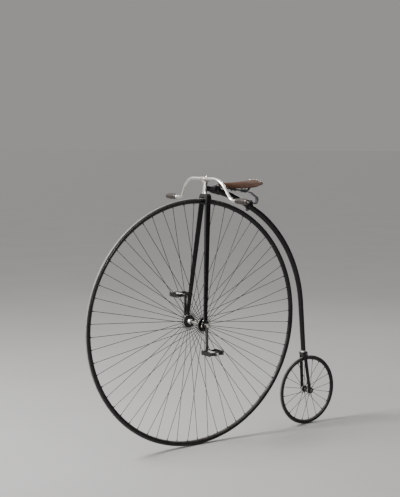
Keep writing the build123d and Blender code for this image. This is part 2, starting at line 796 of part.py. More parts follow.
with BuildPart() as rear_crown:
    with BuildSketch(rear_profile):
        with BuildLine():
            Polyline(
                (0, crown_underside),
                (rear_blade_top_inner - rear_crown_foot / 2, crown_underside),
                (rear_blade_top_inner, crown_underside - rear_crown_foot / 2),
                (rear_blade_top_inner, crown_foot),
                (rear_crown_outer, crown_foot),
                (rear_crown_outer, crown_middle),
                (rear_crown_top_width / 2, crown_top),
                (0, crown_top),
                close=True,
            )
        make_face()
        mirror(about=Plane.YZ)
    extrude(amount=rear_crown_length / 2, both=True)
    fillet(rear_crown.edges().filter_by(GeomType.LINE).group_by(Axis.Z)[-1], rear_crown_round)
    with BuildSketch(rear_plane(crown_foot)):
        RectangleRounded(rear_crown_length, 2 * rear_crown_outer, rear_crown_corner)
    extrude(amount=crown_top - crown_foot, mode=Mode.INTERSECT)
    with BuildSketch(Plane(origin=rear_path.line @ 1, z_dir=tail_direction)):
        Circle(backbone_end_dia / 2 + running_fit)
    extrude(amount=backbone_end_run + seat_gap, mode=Mode.SUBTRACT)

blade_bottom_middle = (
    rear_flange_span / 2 + rear_flange_width / 2 + rear_blade_gap + rear_blade_bottom_width / 2
)
blade_inner = blade_bottom_middle - rear_blade_bottom_width / 2
blade_outer = blade_bottom_middle + rear_blade_bottom_width / 2
blade_foot_height = rear_eye_dia / 2 - rear_blade_bottom_width
blade_foot_length = rear_blade_top_length - rear_blade_top_width + rear_blade_bottom_width
blade_taper = degrees(atan2((rear_blade_top_width - rear_blade_bottom_width) / 2, crown_foot))
rear_blades = {}
for side, name in ((1, "left"), (-1, "right")):
    foot_place = Vector(rear_blade_foot_lead, side * blade_bottom_middle, 0)
    head_place = Vector(rear_blade_top_lead, side * blade_top_middle, 0)
    blade_foot = rear_plane(blade_foot_height).from_local_coords(foot_place)
    blade_head = rear_plane(crown_foot).from_local_coords(head_place)
    blade_run = blade_head - blade_foot
    with BuildPart() as blade:
        blade_start = blade_head + blade_run.normalized() * rear_blade_top_width
        with BuildSketch(Plane(origin=blade_start, x_dir=rear_plane(0).x_dir, z_dir=blade_run * -1)):
            SlotOverall(rear_blade_top_length, rear_blade_top_width)
        extrude(amount=blade_run.length + rear_blade_top_width, taper=blade_taper)
        split(bisect_by=rear_plane(crown_foot), keep=Keep.BOTTOM)
        inner_point = rear_axle + axle_direction * side * blade_inner
        eye_plane = Plane(origin=inner_point, x_dir=rear_plane(0).x_dir, z_dir=(0, side, 0))
        with BuildSketch(eye_plane):
            Circle(rear_eye_dia / 2)
            with Locations((rear_blade_foot_lead, -side * blade_foot_height)):
                Circle(blade_foot_length / 2)
            make_hull()
        extrude(amount=rear_blade_bottom_width)
        with BuildSketch(eye_plane):
            Circle(rear_axle_dia / 2 + seat_gap)
        extrude(amount=rear_blade_bottom_width, mode=Mode.SUBTRACT)
    rear_blades[name] = blade

with BuildPart() as rear_axle_piece:
    with BuildSketch(Plane(origin=rear_axle, z_dir=(0, 1, 0))):
        Circle(rear_axle_dia / 2)
    extrude(amount=blade_outer + rear_nut_width, both=True)
    for side in (1, -1):
        with BuildSketch(Plane(origin=rear_axle + axle_direction * side * blade_outer, z_dir=(0, side, 0))):
            RegularPolygon(rear_nut_dia / 2, 6)
        extrude(amount=rear_nut_width - rear_stub)
        with BuildSketch(Plane(origin=rear_axle + axle_direction * side * blade_inner, z_dir=(0, side, 0))):
            Circle(rear_nut_dia / 2)
        extrude(amount=rear_cone_gap - rear_blade_gap)

# Rear tyre, rim and hub
rear_seat_radius = rear_tyre_dia / 2 + seat_gap
rear_lip_height = rear_radius - rear_tyre_dia / 2 + rim_lip_rise
rear_seat_half = sqrt(rear_seat_radius**2 - rim_lip_rise**2)

with BuildPart() as rear_tyre:
    with BuildSketch(wheel_plane(rear_axle)):
        with Locations((0, rear_radius - rear_tyre_dia / 2)):
            RegularPolygon(rear_tyre_dia / 2, tyre_sides, rotation=90)
    revolve(axis=Axis(rear_axle, axle_direction))

with BuildPart() as rear_rim:
    with BuildSketch(wheel_plane(rear_axle)):
        with BuildLine():
            rear_back = ThreePointArc(
                (-rear_rim_lip_width / 2, rear_lip_height),
                (0, rear_radius - rear_rim_band),
                (rear_rim_lip_width / 2, rear_lip_height),
            )
            Line(rear_back @ 1, (rear_seat_half, rear_lip_height))
            ThreePointArc(
                (rear_seat_half, rear_lip_height),
                (0, rear_radius - rear_tyre_dia / 2 - rear_seat_radius),
                (-rear_seat_half, rear_lip_height),
            )
            Line((-rear_seat_half, rear_lip_height), rear_back @ 0)
        make_face()
    revolve(axis=Axis(rear_axle, axle_direction))

rear_flange_inner = rear_flange_span / 2 - rear_flange_width / 2
rear_flange_outer = rear_flange_span / 2 + rear_flange_width / 2
with BuildPart() as rear_hub:
    with BuildSketch(wheel_plane(rear_axle)):
        with BuildLine():
            Polyline(
                (0, rear_axle_dia / 2 + running_fit),
                (rear_flange_outer, rear_axle_dia / 2 + running_fit),
                (rear_flange_outer, rear_flange_dia / 2),
                (rear_flange_inner, rear_flange_dia / 2),
                (rear_flange_inner, rear_barrel_dia / 2),
                (0, rear_barrel_dia / 2),
                close=True,
            )
        make_face()
        mirror(about=Plane.YZ)
    revolve(axis=Axis(rear_axle, axle_direction))
    for side in (1, -1):
        phase = rear_spoke_phase + (0 if side > 0 else 180 / rear_spokes_a_side)
        planes, length = spoke_planes(
            rear_axle,
            rear_spokes_a_side,
            phase,
            side,
            rear_flange_span / 2,
            rear_flange_dia / 2 - rear_flange_width,
            rear_radius - rear_rim_band + spoke_thread,
            spoke_rim_spread,
        )
        with BuildSketch(*planes):
            Circle(rear_spoke_dia / 2)
        extrude(amount=length)

# Mounting step on the right-hand side of the rear crown
step_top = crown_middle
with BuildPart() as mounting_step:
    with BuildSketch(rear_plane(step_top - step_plate_thickness)):
        with Locations((0, -rear_crown_outer - step_plate_reach / 2)):
            RectangleRounded(step_plate_length, step_plate_reach, step_corner)
        with Locations((0, -rear_crown_outer - step_plate_reach / 4)):
            Rectangle(step_plate_length * step_root, step_plate_reach / 2)
    extrude(amount=step_plate_thickness)
    ridge_pitch = step_plate_reach / (step_ridges + 1)
    ridge_half = ridge_pitch * step_ridge_share / 2
    for k in range(step_ridges):
        across = -rear_crown_outer - ridge_pitch * (k + 1)
        step_profile = Plane(origin=rear_plane(step_top).origin, x_dir=(0, 1, 0), z_dir=rear_plane(0).x_dir)
        with BuildSketch(step_profile):
            with BuildLine():
                Polyline(
                    (across - ridge_half, 0),
                    (across, step_ridge_height),
                    (across + ridge_half, 0),
                    close=True,
                )
            make_face()
        extrude(amount=step_plate_length / 2 - step_corner, both=True)

# Saddle: leaf spring, its clip on the backbone, steel frame and stretched leather
pad_top = neck_sleeve_dia / 2 + neck_pad_rise + spring_thickness / 2
pad_point = pad_middle + pad_plane.z_dir * pad_top
leaf_front = pad_point - pad_back * (neck_pad_length / 2)
leaf_foot = pad_point + pad_back * (neck_pad_length / 2 + spring_lap)
clip_x = -seat_setback - spring_grip
clip_angle = radians(front_angle(clip_x))
clip_origin = from_hub(clip_x, tube_middle(clip_x))
clip_normal = Vector(cos(clip_angle), 0, sin(clip_angle))
clip_forward = Vector(sin(clip_angle), 0, -cos(clip_angle))
clip_surface = backbone_dia / 2 + clip_wall + clip_pad_rise
leaf_end = clip_origin + clip_normal * (clip_surface + spring_thickness / 2) + clip_forward * (clip_width / 2)
leaf_turn = leaf_end - clip_forward * spring_tail

with BuildPart() as saddle_spring:
    with BuildSketch(Plane.XZ):
        with BuildLine():
            FilletPolyline(
                (leaf_front.X, leaf_front.Z),
                (leaf_foot.X, leaf_foot.Z),
                (-spring_back, -spring_drop),
                (-spring_back - spring_curl[0], -spring_drop - spring_curl[1]),
                (leaf_turn.X, leaf_turn.Z),
                (leaf_end.X, leaf_end.Z),
                radius=spring_bends,
            )
        trace(line_width=spring_thickness)
    extrude(amount=spring_width / 2, both=True)

with BuildPart() as spring_clip:
    with BuildSketch(Plane(origin=clip_origin, z_dir=clip_forward)):
        Circle(backbone_dia / 2 + clip_wall)
    extrude(amount=clip_width / 2, both=True)
    with BuildSketch(Plane(origin=clip_origin, x_dir=clip_forward, z_dir=clip_normal)):
        Rectangle(clip_width, spring_width)
    extrude(amount=clip_surface)
    with BuildSketch(Plane(origin=clip_origin, z_dir=clip_forward)):
        Circle(backbone_dia / 2 + seat_gap)
    extrude(amount=clip_width, both=True, mode=Mode.SUBTRACT)

# Leather: distance ahead of the seat, half width, crown height, depth of the sides
leather_sections = (
    (158.0, 21.0, -7.0, 22.0),
    (90.0, 28.0, -4.0, 30.0),
    (0.0, 56.0, 0.0, 34.0),
    (-62.0, 84.0, 5.0, 34.0),
    (-102.0, 86.0, 14.0, 26.0),
)
with BuildPart() as saddle_leather:
    for ahead, half, top, depth in leather_sections:
        with BuildSketch(Plane(origin=(ahead, 0, 0), x_dir=(0, 1, 0), z_dir=(1, 0, 0))):
            with BuildLine():
                outer = ThreePointArc((-half, top - depth), (0, top), (half, top - depth))
                lip = Line(outer @ 1, (half - leather_thickness, top - depth))
                far_lip = (-half + leather_thickness, top - depth)
                inner_arc = ThreePointArc(lip @ 1, (0, top - leather_thickness), far_lip)
                Line(inner_arc @ 1, outer @ 0)
            make_face()
    loft()

# Saddle frame: a bar along the spring from the nose to the cantle plate that spreads the leather
cantle_half, cantle_top, cantle_depth = leather_sections[-1][1:]
under_half = cantle_half - leather_thickness
under_depth = cantle_depth - leather_thickness
under_radius = (under_half**2 + under_depth**2) / (2 * under_depth)
cantle_front = cantle_back - cantle_length / 2
share = (cantle_front + leather_sections[-2][0]) / (leather_sections[-2][0] - leather_sections[-1][0])
cantle_crown = leather_sections[-2][2] + share * (cantle_top - leather_sections[-2][2])
cantle_radius = under_radius - leather_gap
cantle_centre_z = cantle_crown - leather_thickness - under_radius
cantle_angle = degrees(asin(cantle_half_width / cantle_radius))
leaf_slope = (leaf_foot.Z + spring_drop) / (leaf_foot.X + spring_back)
bar_rise = (spring_thickness + frame_bar_thickness) / 2 * hypot(1, leaf_slope)
nose_bar_z = leather_sections[0][2] - leather_thickness - nose_gap - frame_bar_thickness / 2


def bar_z(x):
    """Height of the bar's middle where it lies on the spring."""
    return -spring_drop + (x + spring_back) * leaf_slope + bar_rise


with BuildPart() as saddle_frame:
    with BuildSketch(Plane.XZ):
        with BuildLine():
            FilletPolyline(
                (frame_nose, nose_bar_z),
                (frame_nose - frame_nose_flat[0], nose_bar_z - frame_nose_flat[1]),
                (frame_flat[0], bar_z(frame_flat[0])),
                (frame_flat[1], bar_z(frame_flat[1])),
                (-cantle_back, cantle_centre_z + cantle_radius - cantle_thickness / 2),
                radius=frame_bends,
            )
        trace(line_width=frame_bar_thickness)
    extrude(amount=frame_bar_width / 2, both=True)
    with BuildSketch(Plane(origin=(-cantle_back, 0, cantle_centre_z), x_dir=(0, 1, 0), z_dir=(1, 0, 0))):
        with BuildLine():
            top_arc = CenterArc((0, 0), cantle_radius, 90 - cantle_angle, 2 * cantle_angle)
            under_arc = CenterArc((0, 0), cantle_radius - cantle_thickness, 90 - cantle_angle, 2 * cantle_angle)
            Line(top_arc @ 0, under_arc @ 0)
            Line(top_arc @ 1, under_arc @ 1)
        make_face()
    extrude(amount=cantle_length / 2, both=True)

pieces = {
    "front_tyre": front_tyre,
    "front_rim": front_rim,
    "front_axle": front_axle,
    "front_hub": front_hub,
    "front_spokes_left": front_spokes["left"],
    "front_spokes_right": front_spokes["right"],
    "bearing_left": bearings["left"],
    "bearing_right": bearings["right"],
    "fork_leg_left": fork_legs["left"],
    "fork_leg_right": fork_legs["right"],
    "fork_crown": fork_crown,
    "steering_head": steering_head,
    "head_bolt": head_bolt,
    "handlebar": handlebar,
    "grip_left": grips["left"],
    "grip_right": grips["right"],
    "crank_left": cranks["left"],
    "crank_right": cranks["right"],
    "spindle_left": spindles["left"],
    "spindle_right": spindles["right"],
    "pedal_cage_left": pedal_cages["left"],
    "pedal_cage_right": pedal_cages["right"],
    "pedal_barrel_left": pedal_barrels["left"],
    "pedal_barrel_right": pedal_barrels["right"],
    "backbone": backbone,
    "neck": neck,
    "rear_crown": rear_crown,
    "rear_blade_left": rear_blades["left"],
    "rear_blade_right": rear_blades["right"],
    "rear_axle": rear_axle_piece,
    "rear_tyre": rear_tyre,
    "rear_rim": rear_rim,
    "rear_spokes": rear_hub,
    "mounting_step": mounting_step,
    "saddle_spring": saddle_spring,
    "spring_clip": spring_clip,
    "saddle_frame": saddle_frame,
    "saddle_leather": saddle_leather,
}
for name, piece in pieces.items():
    piece.part.label = name
    export_step(piece.part, f"parts/{name}.step")
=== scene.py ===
import json
import math

import bmesh
import bpy
from mathutils import Matrix, Vector, noise


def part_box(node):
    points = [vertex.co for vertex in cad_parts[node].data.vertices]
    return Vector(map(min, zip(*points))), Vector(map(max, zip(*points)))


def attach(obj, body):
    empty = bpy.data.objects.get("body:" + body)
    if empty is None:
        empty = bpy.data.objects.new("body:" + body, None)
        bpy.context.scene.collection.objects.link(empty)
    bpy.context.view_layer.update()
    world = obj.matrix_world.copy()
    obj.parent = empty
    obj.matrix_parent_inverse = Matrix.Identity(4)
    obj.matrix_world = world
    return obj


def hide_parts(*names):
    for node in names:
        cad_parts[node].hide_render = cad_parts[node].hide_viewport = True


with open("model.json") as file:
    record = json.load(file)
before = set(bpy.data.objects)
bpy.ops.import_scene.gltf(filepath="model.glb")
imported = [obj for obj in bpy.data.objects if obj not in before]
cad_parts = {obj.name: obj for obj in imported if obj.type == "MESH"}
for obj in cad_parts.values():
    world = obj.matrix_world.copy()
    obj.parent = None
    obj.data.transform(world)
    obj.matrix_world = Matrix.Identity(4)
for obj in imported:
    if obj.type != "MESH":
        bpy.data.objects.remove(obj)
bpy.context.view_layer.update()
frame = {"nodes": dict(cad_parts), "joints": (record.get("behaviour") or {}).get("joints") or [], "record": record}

# Places of the high-wheel bicycle, in metres: +X is forward, +Y is left, +Z is up
mm = 0.001
joints = {joint["name"]: joint for joint in frame["joints"]}
hub = Vector(joints["front_wheel_spin"]["pos_m"])
rear_hub = Vector(joints["rear_wheel_spin"]["pos_m"])
steering_up = Vector(joints["steering_turn"]["axis"]).normalized()
steering_ahead = Vector((steering_up.z, 0, -steering_up.x))
mounts = {mount["name"]: mount for mount in frame["record"]["mounts"]}
across = Vector((0, 1, 0))
upward = Vector((0, 0, 1))
sides = {"left": 1, "right": -1}
pedal_reach = 0.159       # the pedals' middles, from the bicycle's middle plane
pedal_middle = {side: Vector(joints["pedal_" + side + "_spin"]["pos_m"]) + across * hand * pedal_reach
                for side, hand in sides.items()}
floor_height = min(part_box("front_tyre")[0].z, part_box("rear_tyre")[0].z)


def on_fork(ahead, side, height):
    """A point in the turning fork's own directions, in millimetres from the axle."""
    return hub + (steering_ahead * ahead + across * side + steering_up * height) * mm


def at(x, y, z):
    """A point seen from the middle of the seat, or a step, in millimetres."""
    return Vector((x, y, z)) * mm


# The photograph's camera, from the front hub
camera_from_hub = Vector((3.1467, 4.6091, 0.9627))
camera_yaw = 0.6027
camera_pitch = 0.0984
camera_roll = 0.0045
camera_lens = 74.34
camera_sensor = 36.0


# Shader nodes

def new_material(name):
    """An empty node material: the material, its node tree, its shader and the surface point."""
    material = bpy.data.materials.new(name)
    material.use_nodes = True
    tree = material.node_tree
    tree.nodes.clear()
    output = tree.nodes.new("ShaderNodeOutputMaterial")
    shader = tree.nodes.new("ShaderNodeBsdfPrincipled")
    tree.links.new(shader.outputs["BSDF"], output.inputs["Surface"])
    return material, tree, shader, place(tree)


def feed(node, name, value):
    """One of a node's inputs, set to a value or joined to a socket."""
    if isinstance(value, bpy.types.NodeSocket):
        node.id_data.links.new(value, node.inputs[name])
    else:
        node.inputs[name].default_value = value


def add(tree, kind, inputs=None, **settings):
    """A node with its settings and its inputs."""
    node = tree.nodes.new(kind)
    for key, value in settings.items():
        setattr(node, key, value)
    for key, value in (inputs or {}).items():
        feed(node, key, value)
    return node


def place(tree):
    """The surface point in the piece's own coordinates, which stay with it as it moves."""
    return add(tree, "ShaderNodeTexCoord").outputs["Object"]


def tree_of(*values):
    """The node tree that holds the sockets among some values."""
    return next(value.id_data for value in values if isinstance(value, bpy.types.NodeSocket))


def noise_at(vector, scale, detail=3.0, roughness=0.5):
    """Soft noise, from 0 to 1."""
    inputs = {"Vector": vector, "Scale": scale, "Detail": detail, "Roughness": roughness}
    return add(tree_of(vector), "ShaderNodeTexNoise", inputs).outputs["Fac"]


def between(value, low, high, to_low=0.0, to_high=1.0):
    """A value spread from one range to another, smooth at both ends."""
    inputs = {"Value": value, "From Min": low, "From Max": high, "To Min": to_low, "To Max": to_high}
    spread = add(tree_of(value), "ShaderNodeMapRange", inputs, interpolation_type="SMOOTHSTEP")
    return spread.outputs["Result"]


def math_of(operation, first, second=None):
    """One sum on one or two values."""
    inputs = {0: first} if second is None else {0: first, 1: second}
    return add(tree_of(first, second), "ShaderNodeMath", inputs, operation=operation).outputs[0]


def times(first, second):
    """Their product."""
    return math_of("MULTIPLY", first, second)


def plus(first, second):
    """Their sum."""
    return math_of("ADD", first, second)


def minus(first, second):
    """The first without the second."""
    return math_of("SUBTRACT", first, second)


def blend_colours(mask, first, second):
    """The first colour where the mask is 0, and the second where it is 1."""
    return add(tree_of(mask), "ShaderNodeMix", {0: mask, 6: first, 7: second}, data_type="RGBA").outputs[2]


def bump(shader, height, distance, strength):
    """Relief of a surface, its depth in metres."""
    inputs = {"Height": height, "Distance": distance, "Strength": strength}
    feed(shader, "Normal", add(shader.id_data, "ShaderNodeBump", inputs).outputs["Normal"])


def new_group(name, inputs, outputs):
    """An empty node group with named inputs and their first values, and named outputs."""
    group = bpy.data.node_groups.new(name, "ShaderNodeTree")
    for socket, value in inputs.items():
        kind = "NodeSocketVector" if isinstance(value, tuple) else "NodeSocketFloat"
        made = group.interface.new_socket(name=socket, in_out="INPUT", socket_type=kind)
        made.default_value = value
    for socket in outputs:
        group.interface.new_socket(name=socket, in_out="OUTPUT", socket_type="NodeSocketFloat")
    start = group.nodes.new("NodeGroupInput")
    end = group.nodes.new("NodeGroupOutput")
    return group, start.outputs, end


def use(tree, group, **inputs):
    """A group placed in a material with its own values."""
    named = {key.replace("_", " "): value for key, value in inputs.items()}
    return add(tree, "ShaderNodeGroup", named, node_tree=group).outputs


def make_edge_wear():
    """Finish rubbed off along outer edges, broken up by noise."""
    inputs = {"Width": 0.0012, "Breakup Scale": 90.0, "Amount": 0.6}
    group, given, result = new_group("Edge wear", inputs, ("Mask",))
    point = place(group)
    rounded = add(group, "ShaderNodeBevel", {"Radius": given["Width"]}, samples=4).outputs["Normal"]
    true_normal = add(group, "ShaderNodeNewGeometry").outputs["Normal"]
    facing = add(group, "ShaderNodeVectorMath", {0: rounded, 1: true_normal}, operation="DOT_PRODUCT")
    edge = between(minus(1.0, facing.outputs["Value"]), 0.015, 0.16)
    grain = noise_at(point, given["Breakup Scale"], 4.0, 0.62)
    broken = times(edge, between(grain, 0.34, 0.62))
    feed(result, "Mask", times(broken, given["Amount"]))
    return group


def make_dust():
    """Dust that settles on faces that look up, thicker in patches."""
    group, given, result = new_group("Settled dust", {"Amount": 0.3, "Patch Scale": 14.0}, ("Mask",))
    point = place(group)
    normal = add(group, "ShaderNodeNewGeometry").outputs["Normal"]
    rise = add(group, "ShaderNodeSeparateXYZ", {0: normal}).outputs["Z"]
    up_facing = between(rise, 0.05, 0.95)
    patches = between(noise_at(point, given["Patch Scale"], 5.0, 0.6), 0.3, 0.7, 0.35, 1.0)
    specks = between(noise_at(point, 900.0, 2.0), 0.42, 0.66, 0.45, 1.0)
    laid = times(times(up_facing, patches), specks)
    feed(result, "Mask", times(laid, given["Amount"]))
    return group


def make_handling():
    """Smears, fine scratches and tiny pits of a surface that is used and wiped."""
    inputs = {"Smear Scale": 22.0, "Scratch Scale": 160.0, "Pit Scale": 420.0}
    group, given, result = new_group("Handling marks", inputs, ("Smears", "Scratches", "Pits"))
    point = place(group)
    smears = between(noise_at(point, given["Smear Scale"], 5.0, 0.62), 0.28, 0.72)
    feed(result, "Smears", smears)
    lines = []
    for stretch in ((1.0, 0.06, 0.11), (0.08, 1.0, 0.5), (0.5, 0.3, 0.04)):
        squeezed = add(group, "ShaderNodeMapping", {"Vector": point, "Scale": stretch}).outputs[0]
        fine = noise_at(squeezed, given["Scratch Scale"], 2.0, 0.7)
        off_middle = math_of("ABSOLUTE", minus(fine, 0.5))
        lines.append(between(off_middle, 0.018, 0.0))
    both = math_of("MAXIMUM", math_of("MAXIMUM", lines[0], lines[1]), lines[2])
    where = between(noise_at(point, 37.0, 2.0), 0.46, 0.62)
    feed(result, "Scratches", times(both, where))
    cells = add(group, "ShaderNodeTexVoronoi", {"Vector": point, "Scale": given["Pit Scale"]}, feature="F1")
    spots = between(cells.outputs["Distance"], 0.16, 0.05)
    chosen = between(noise_at(point, 60.0, 3.0), 0.55, 0.7)
    feed(result, "Pits", times(spots, chosen))
    return group


def make_wheel_place():
    """How far a point of a wheel lies out from its axle."""
    group, given, result = new_group("Place on wheel", {"Middle": (0.0, 0.0, 0.0)}, ("Out",))
    local = add(group, "ShaderNodeVectorMath", {0: place(group), 1: given["Middle"]}, operation="SUBTRACT")
    parts = add(group, "ShaderNodeSeparateXYZ", {0: local.outputs[0]}).outputs
    squares = [times(parts[axis], parts[axis]) for axis in "XZ"]
    feed(result, "Out", math_of("SQRT", plus(*squares)))
    return group


edge_wear = make_edge_wear()
settled_dust = make_dust()
handling_marks = make_handling()
wheel_place = make_wheel_place()
dust_colour = (0.34, 0.31, 0.27, 1)


# Finishes

def stoved_enamel(name, dust=0.05, wear=0.55):
    """Black stoved enamel over steel, rubbed to bare metal on its edges."""
    material, tree, shader, point = new_material(name)
    marks = use(tree, handling_marks, Smear_Scale=16.0)
    worn = use(tree, edge_wear, Width=0.0011, Amount=wear)["Mask"]
    dusty = use(tree, settled_dust, Amount=dust)["Mask"]
    tone = noise_at(point, 9.0, 4.0)
    paint = blend_colours(tone, (0.0022, 0.0022, 0.0026, 1), (0.0050, 0.0048, 0.0050, 1))
    paint = blend_colours(times(marks["Scratches"], 0.35), paint, (0.05, 0.048, 0.046, 1))
    paint = blend_colours(worn, paint, (0.16, 0.15, 0.14, 1))
    feed(shader, "Base Color", blend_colours(dusty, paint, dust_colour))
    gloss = between(marks["Smears"], 0.0, 1.0, 0.12, 0.27)
    gloss = plus(gloss, times(worn, 0.2))
    feed(shader, "Roughness", plus(gloss, times(dusty, 0.9)))
    feed(shader, "Metallic", times(worn, 0.85))
    feed(shader, "IOR", 1.42)
    relief = minus(noise_at(point, 240.0, 2.0), times(worn, 0.9))
    bump(shader, relief, 0.00012, 0.35)
    return material


def plated_nickel(name, roughness=0.12, dust=0.1):
    """Polished nickel plate, gone slightly warm, with smears, pits and rubbed edges."""
    material, tree, shader, point = new_material(name)
    marks = use(tree, handling_marks, Smear_Scale=26.0)
    worn = use(tree, edge_wear, Width=0.0008, Amount=0.4)["Mask"]
    dusty = use(tree, settled_dust, Amount=dust)["Mask"]
    age = between(noise_at(point, 7.0, 5.0, 0.6), 0.35, 0.72)
    plate = blend_colours(age, (0.76, 0.745, 0.715, 1), (0.60, 0.565, 0.51, 1))
    plate = blend_colours(marks["Pits"], plate, (0.10, 0.07, 0.045, 1))
    plate = blend_colours(worn, plate, (0.66, 0.60, 0.51, 1))
    feed(shader, "Base Color", blend_colours(dusty, plate, dust_colour))
    clean = minus(1.0, plus(dusty, times(marks["Pits"], 0.7)))
    feed(shader, "Metallic", clean)
    gloss = between(marks["Smears"], 0.0, 1.0, roughness, roughness + 0.14)
    gloss = plus(gloss, times(marks["Scratches"], 0.16))
    feed(shader, "Roughness", plus(gloss, times(dusty, 0.8)))
    relief = minus(noise_at(point, 130.0, 3.0), marks["Pits"])
    bump(shader, relief, 0.00008, 0.3)
    return material


def bright_steel(name, base=(0.33, 0.325, 0.315, 1), roughness=0.26, stain=0.5):
    """Drawn or forged steel, oiled, with brown stains starting in its pores."""
    material, tree, shader, point = new_material(name)
    marks = use(tree, handling_marks, Smear_Scale=34.0, Pit_Scale=650.0)
    worn = use(tree, edge_wear, Width=0.0007, Amount=0.6)["Mask"]
    stains = times(between(noise_at(point, 48.0, 6.0, 0.7), 0.5, 0.74), stain)
    metal = blend_colours(marks["Smears"], base, tuple(0.72 * part for part in base[:3]) + (1,))
    metal = blend_colours(worn, metal, (0.6, 0.59, 0.57, 1))
    metal = blend_colours(stains, metal, (0.085, 0.05, 0.03, 1))
    feed(shader, "Base Color", blend_colours(marks["Pits"], metal, (0.03, 0.02, 0.015, 1)))
    feed(shader, "Metallic", between(stains, 0.0, 0.6, 1.0, 0.45))
    gloss = between(marks["Smears"], 0.0, 1.0, roughness, roughness + 0.16)
    feed(shader, "Roughness", plus(gloss, times(stains, 0.4)))
    relief = minus(noise_at(point, 520.0, 2.0), plus(marks["Pits"], stains))
    bump(shader, relief, 0.00006, 0.45)
    return material


def spoke_wire(name, middle, face_radius, flange_radius):
    """Tarnished steel wire, and a flange with enamelled faces and a bright rim."""
    material, tree, shader, point = new_material(name)
    marks = use(tree, handling_marks, Smear_Scale=40.0, Pit_Scale=700.0)
    out = use(tree, wheel_place, Middle=tuple(middle))["Out"]
    flange = between(out, flange_radius + 0.5 * mm, flange_radius + 0.3 * mm)
    bright = times(flange, between(out, face_radius, face_radius + 0.4 * mm))
    tarnish = between(noise_at(point, 30.0, 6.0, 0.7), 0.4, 0.72)
    wire = blend_colours(tarnish, (0.034, 0.033, 0.032, 1), (0.013, 0.010, 0.008, 1))
    wire = blend_colours(marks["Pits"], wire, (0.012, 0.007, 0.005, 1))
    colour = blend_colours(flange, wire, (0.004, 0.004, 0.0045, 1))
    colour = blend_colours(bright, colour, (0.62, 0.60, 0.57, 1))
    feed(shader, "Base Color", colour)
    bare = math_of("MAXIMUM", minus(1.0, flange), bright)
    feed(shader, "Metallic", times(bare, between(tarnish, 0.0, 1.0, 1.0, 0.7)))
    feed(shader, "Roughness", between(marks["Smears"], 0.0, 1.0, 0.22, 0.4))
    bump(shader, minus(noise_at(point, 420.0, 2.0), marks["Pits"]), 0.00006, 0.4)
    return material


def tyre_rubber(name, middle, radius):
    """Grey-black solid rubber, scuffed and pale with road dust where it rolls."""
    material, tree, shader, point = new_material(name)
    out = use(tree, wheel_place, Middle=tuple(middle))["Out"]
    tread = between(out, radius - 2.9 * mm, radius - 0.8 * mm)
    patches = between(noise_at(point, 21.0, 6.0, 0.66), 0.3, 0.7, 0.55, 1.0)
    scuffs = between(noise_at(point, 260.0, 4.0, 0.7), 0.42, 0.68)
    tone = noise_at(point, 12.0, 4.0)
    flank = blend_colours(tone, (0.0050, 0.0048, 0.0046, 1), (0.011, 0.0106, 0.0100, 1))
    rolled = blend_colours(scuffs, (0.13, 0.124, 0.112, 1), (0.32, 0.305, 0.277, 1))
    rolled_mask = times(tread, patches)
    surface = blend_colours(rolled_mask, flank, rolled)
    dusty = use(tree, settled_dust, Amount=0.05, Patch_Scale=30.0)["Mask"]
    feed(shader, "Base Color", blend_colours(dusty, surface, dust_colour))
    feed(shader, "Roughness", between(rolled_mask, 0.0, 1.0, 0.5, 0.72))
    cuts = add(tree, "ShaderNodeTexVoronoi", {"Vector": point, "Scale": 95.0}, feature="DISTANCE_TO_EDGE")
    cracks = times(between(cuts.outputs["Distance"], 0.035, 0.0), tread)
    grain = times(noise_at(point, 700.0, 3.0), 0.5)
    bump(shader, minus(grain, times(cracks, 0.8)), 0.00025, 0.6)
    return material


def saddle_hide(name):
    """Thick brown hide, dark with wax, polished on its ridge and rubbed on its edges."""
    material, tree, shader, point = new_material(name)
    worn = use(tree, edge_wear, Width=0.0022, Breakup_Scale=60.0, Amount=0.8)["Mask"]
    marks = use(tree, handling_marks, Smear_Scale=18.0, Scratch_Scale=110.0)
    parts = add(tree, "ShaderNodeSeparateXYZ", {0: point}).outputs
    off_middle = math_of("ABSOLUTE", parts["Y"])
    sat_on = between(off_middle, 0.062, 0.012)
    mottled = noise_at(point, 26.0, 6.0, 0.62)
    hide = blend_colours(mottled, (0.017, 0.0070, 0.0036, 1), (0.050, 0.0205, 0.0095, 1))
    hide = blend_colours(times(sat_on, 0.45), hide, (0.072, 0.031, 0.0150, 1))
    hide = blend_colours(worn, hide, (0.15, 0.078, 0.042, 1))
    hide = blend_colours(times(marks["Scratches"], 0.3), hide, (0.20, 0.12, 0.075, 1))
    feed(shader, "Base Color", hide)
    feed(shader, "IOR", 1.36)
    gloss = between(sat_on, 0.0, 1.0, 0.62, 0.5)
    feed(shader, "Roughness", plus(gloss, times(mottled, 0.12)))
    pores = add(tree, "ShaderNodeTexVoronoi", {"Vector": point, "Scale": 520.0}, feature="DISTANCE_TO_EDGE")
    grain = between(pores.outputs["Distance"], 0.0, 0.32)
    wrinkled = noise_at(point, 75.0, 5.0, 0.65)
    height = plus(times(grain, 0.4), wrinkled)
    bump(shader, minus(height, marks["Scratches"]), 0.0004, 0.5)
    return material


def turned_horn(name):
    """Dark horn, polished by the hand, with streaks along its growth."""
    material, tree, shader, point = new_material(name)
    stretched = add(tree, "ShaderNodeMapping", {"Vector": point, "Scale": (1.0, 0.12, 0.35)}).outputs[0]
    streaks = noise_at(stretched, 210.0, 5.0, 0.6)
    marks = use(tree, handling_marks, Smear_Scale=40.0)
    light = between(streaks, 0.35, 0.68)
    feed(shader, "Base Color", blend_colours(light, (0.005, 0.004, 0.0035, 1), (0.028, 0.018, 0.012, 1)))
    feed(shader, "Roughness", between(marks["Smears"], 0.0, 1.0, 0.2, 0.42))
    bump(shader, minus(streaks, marks["Scratches"]), 0.0001, 0.4)
    return material


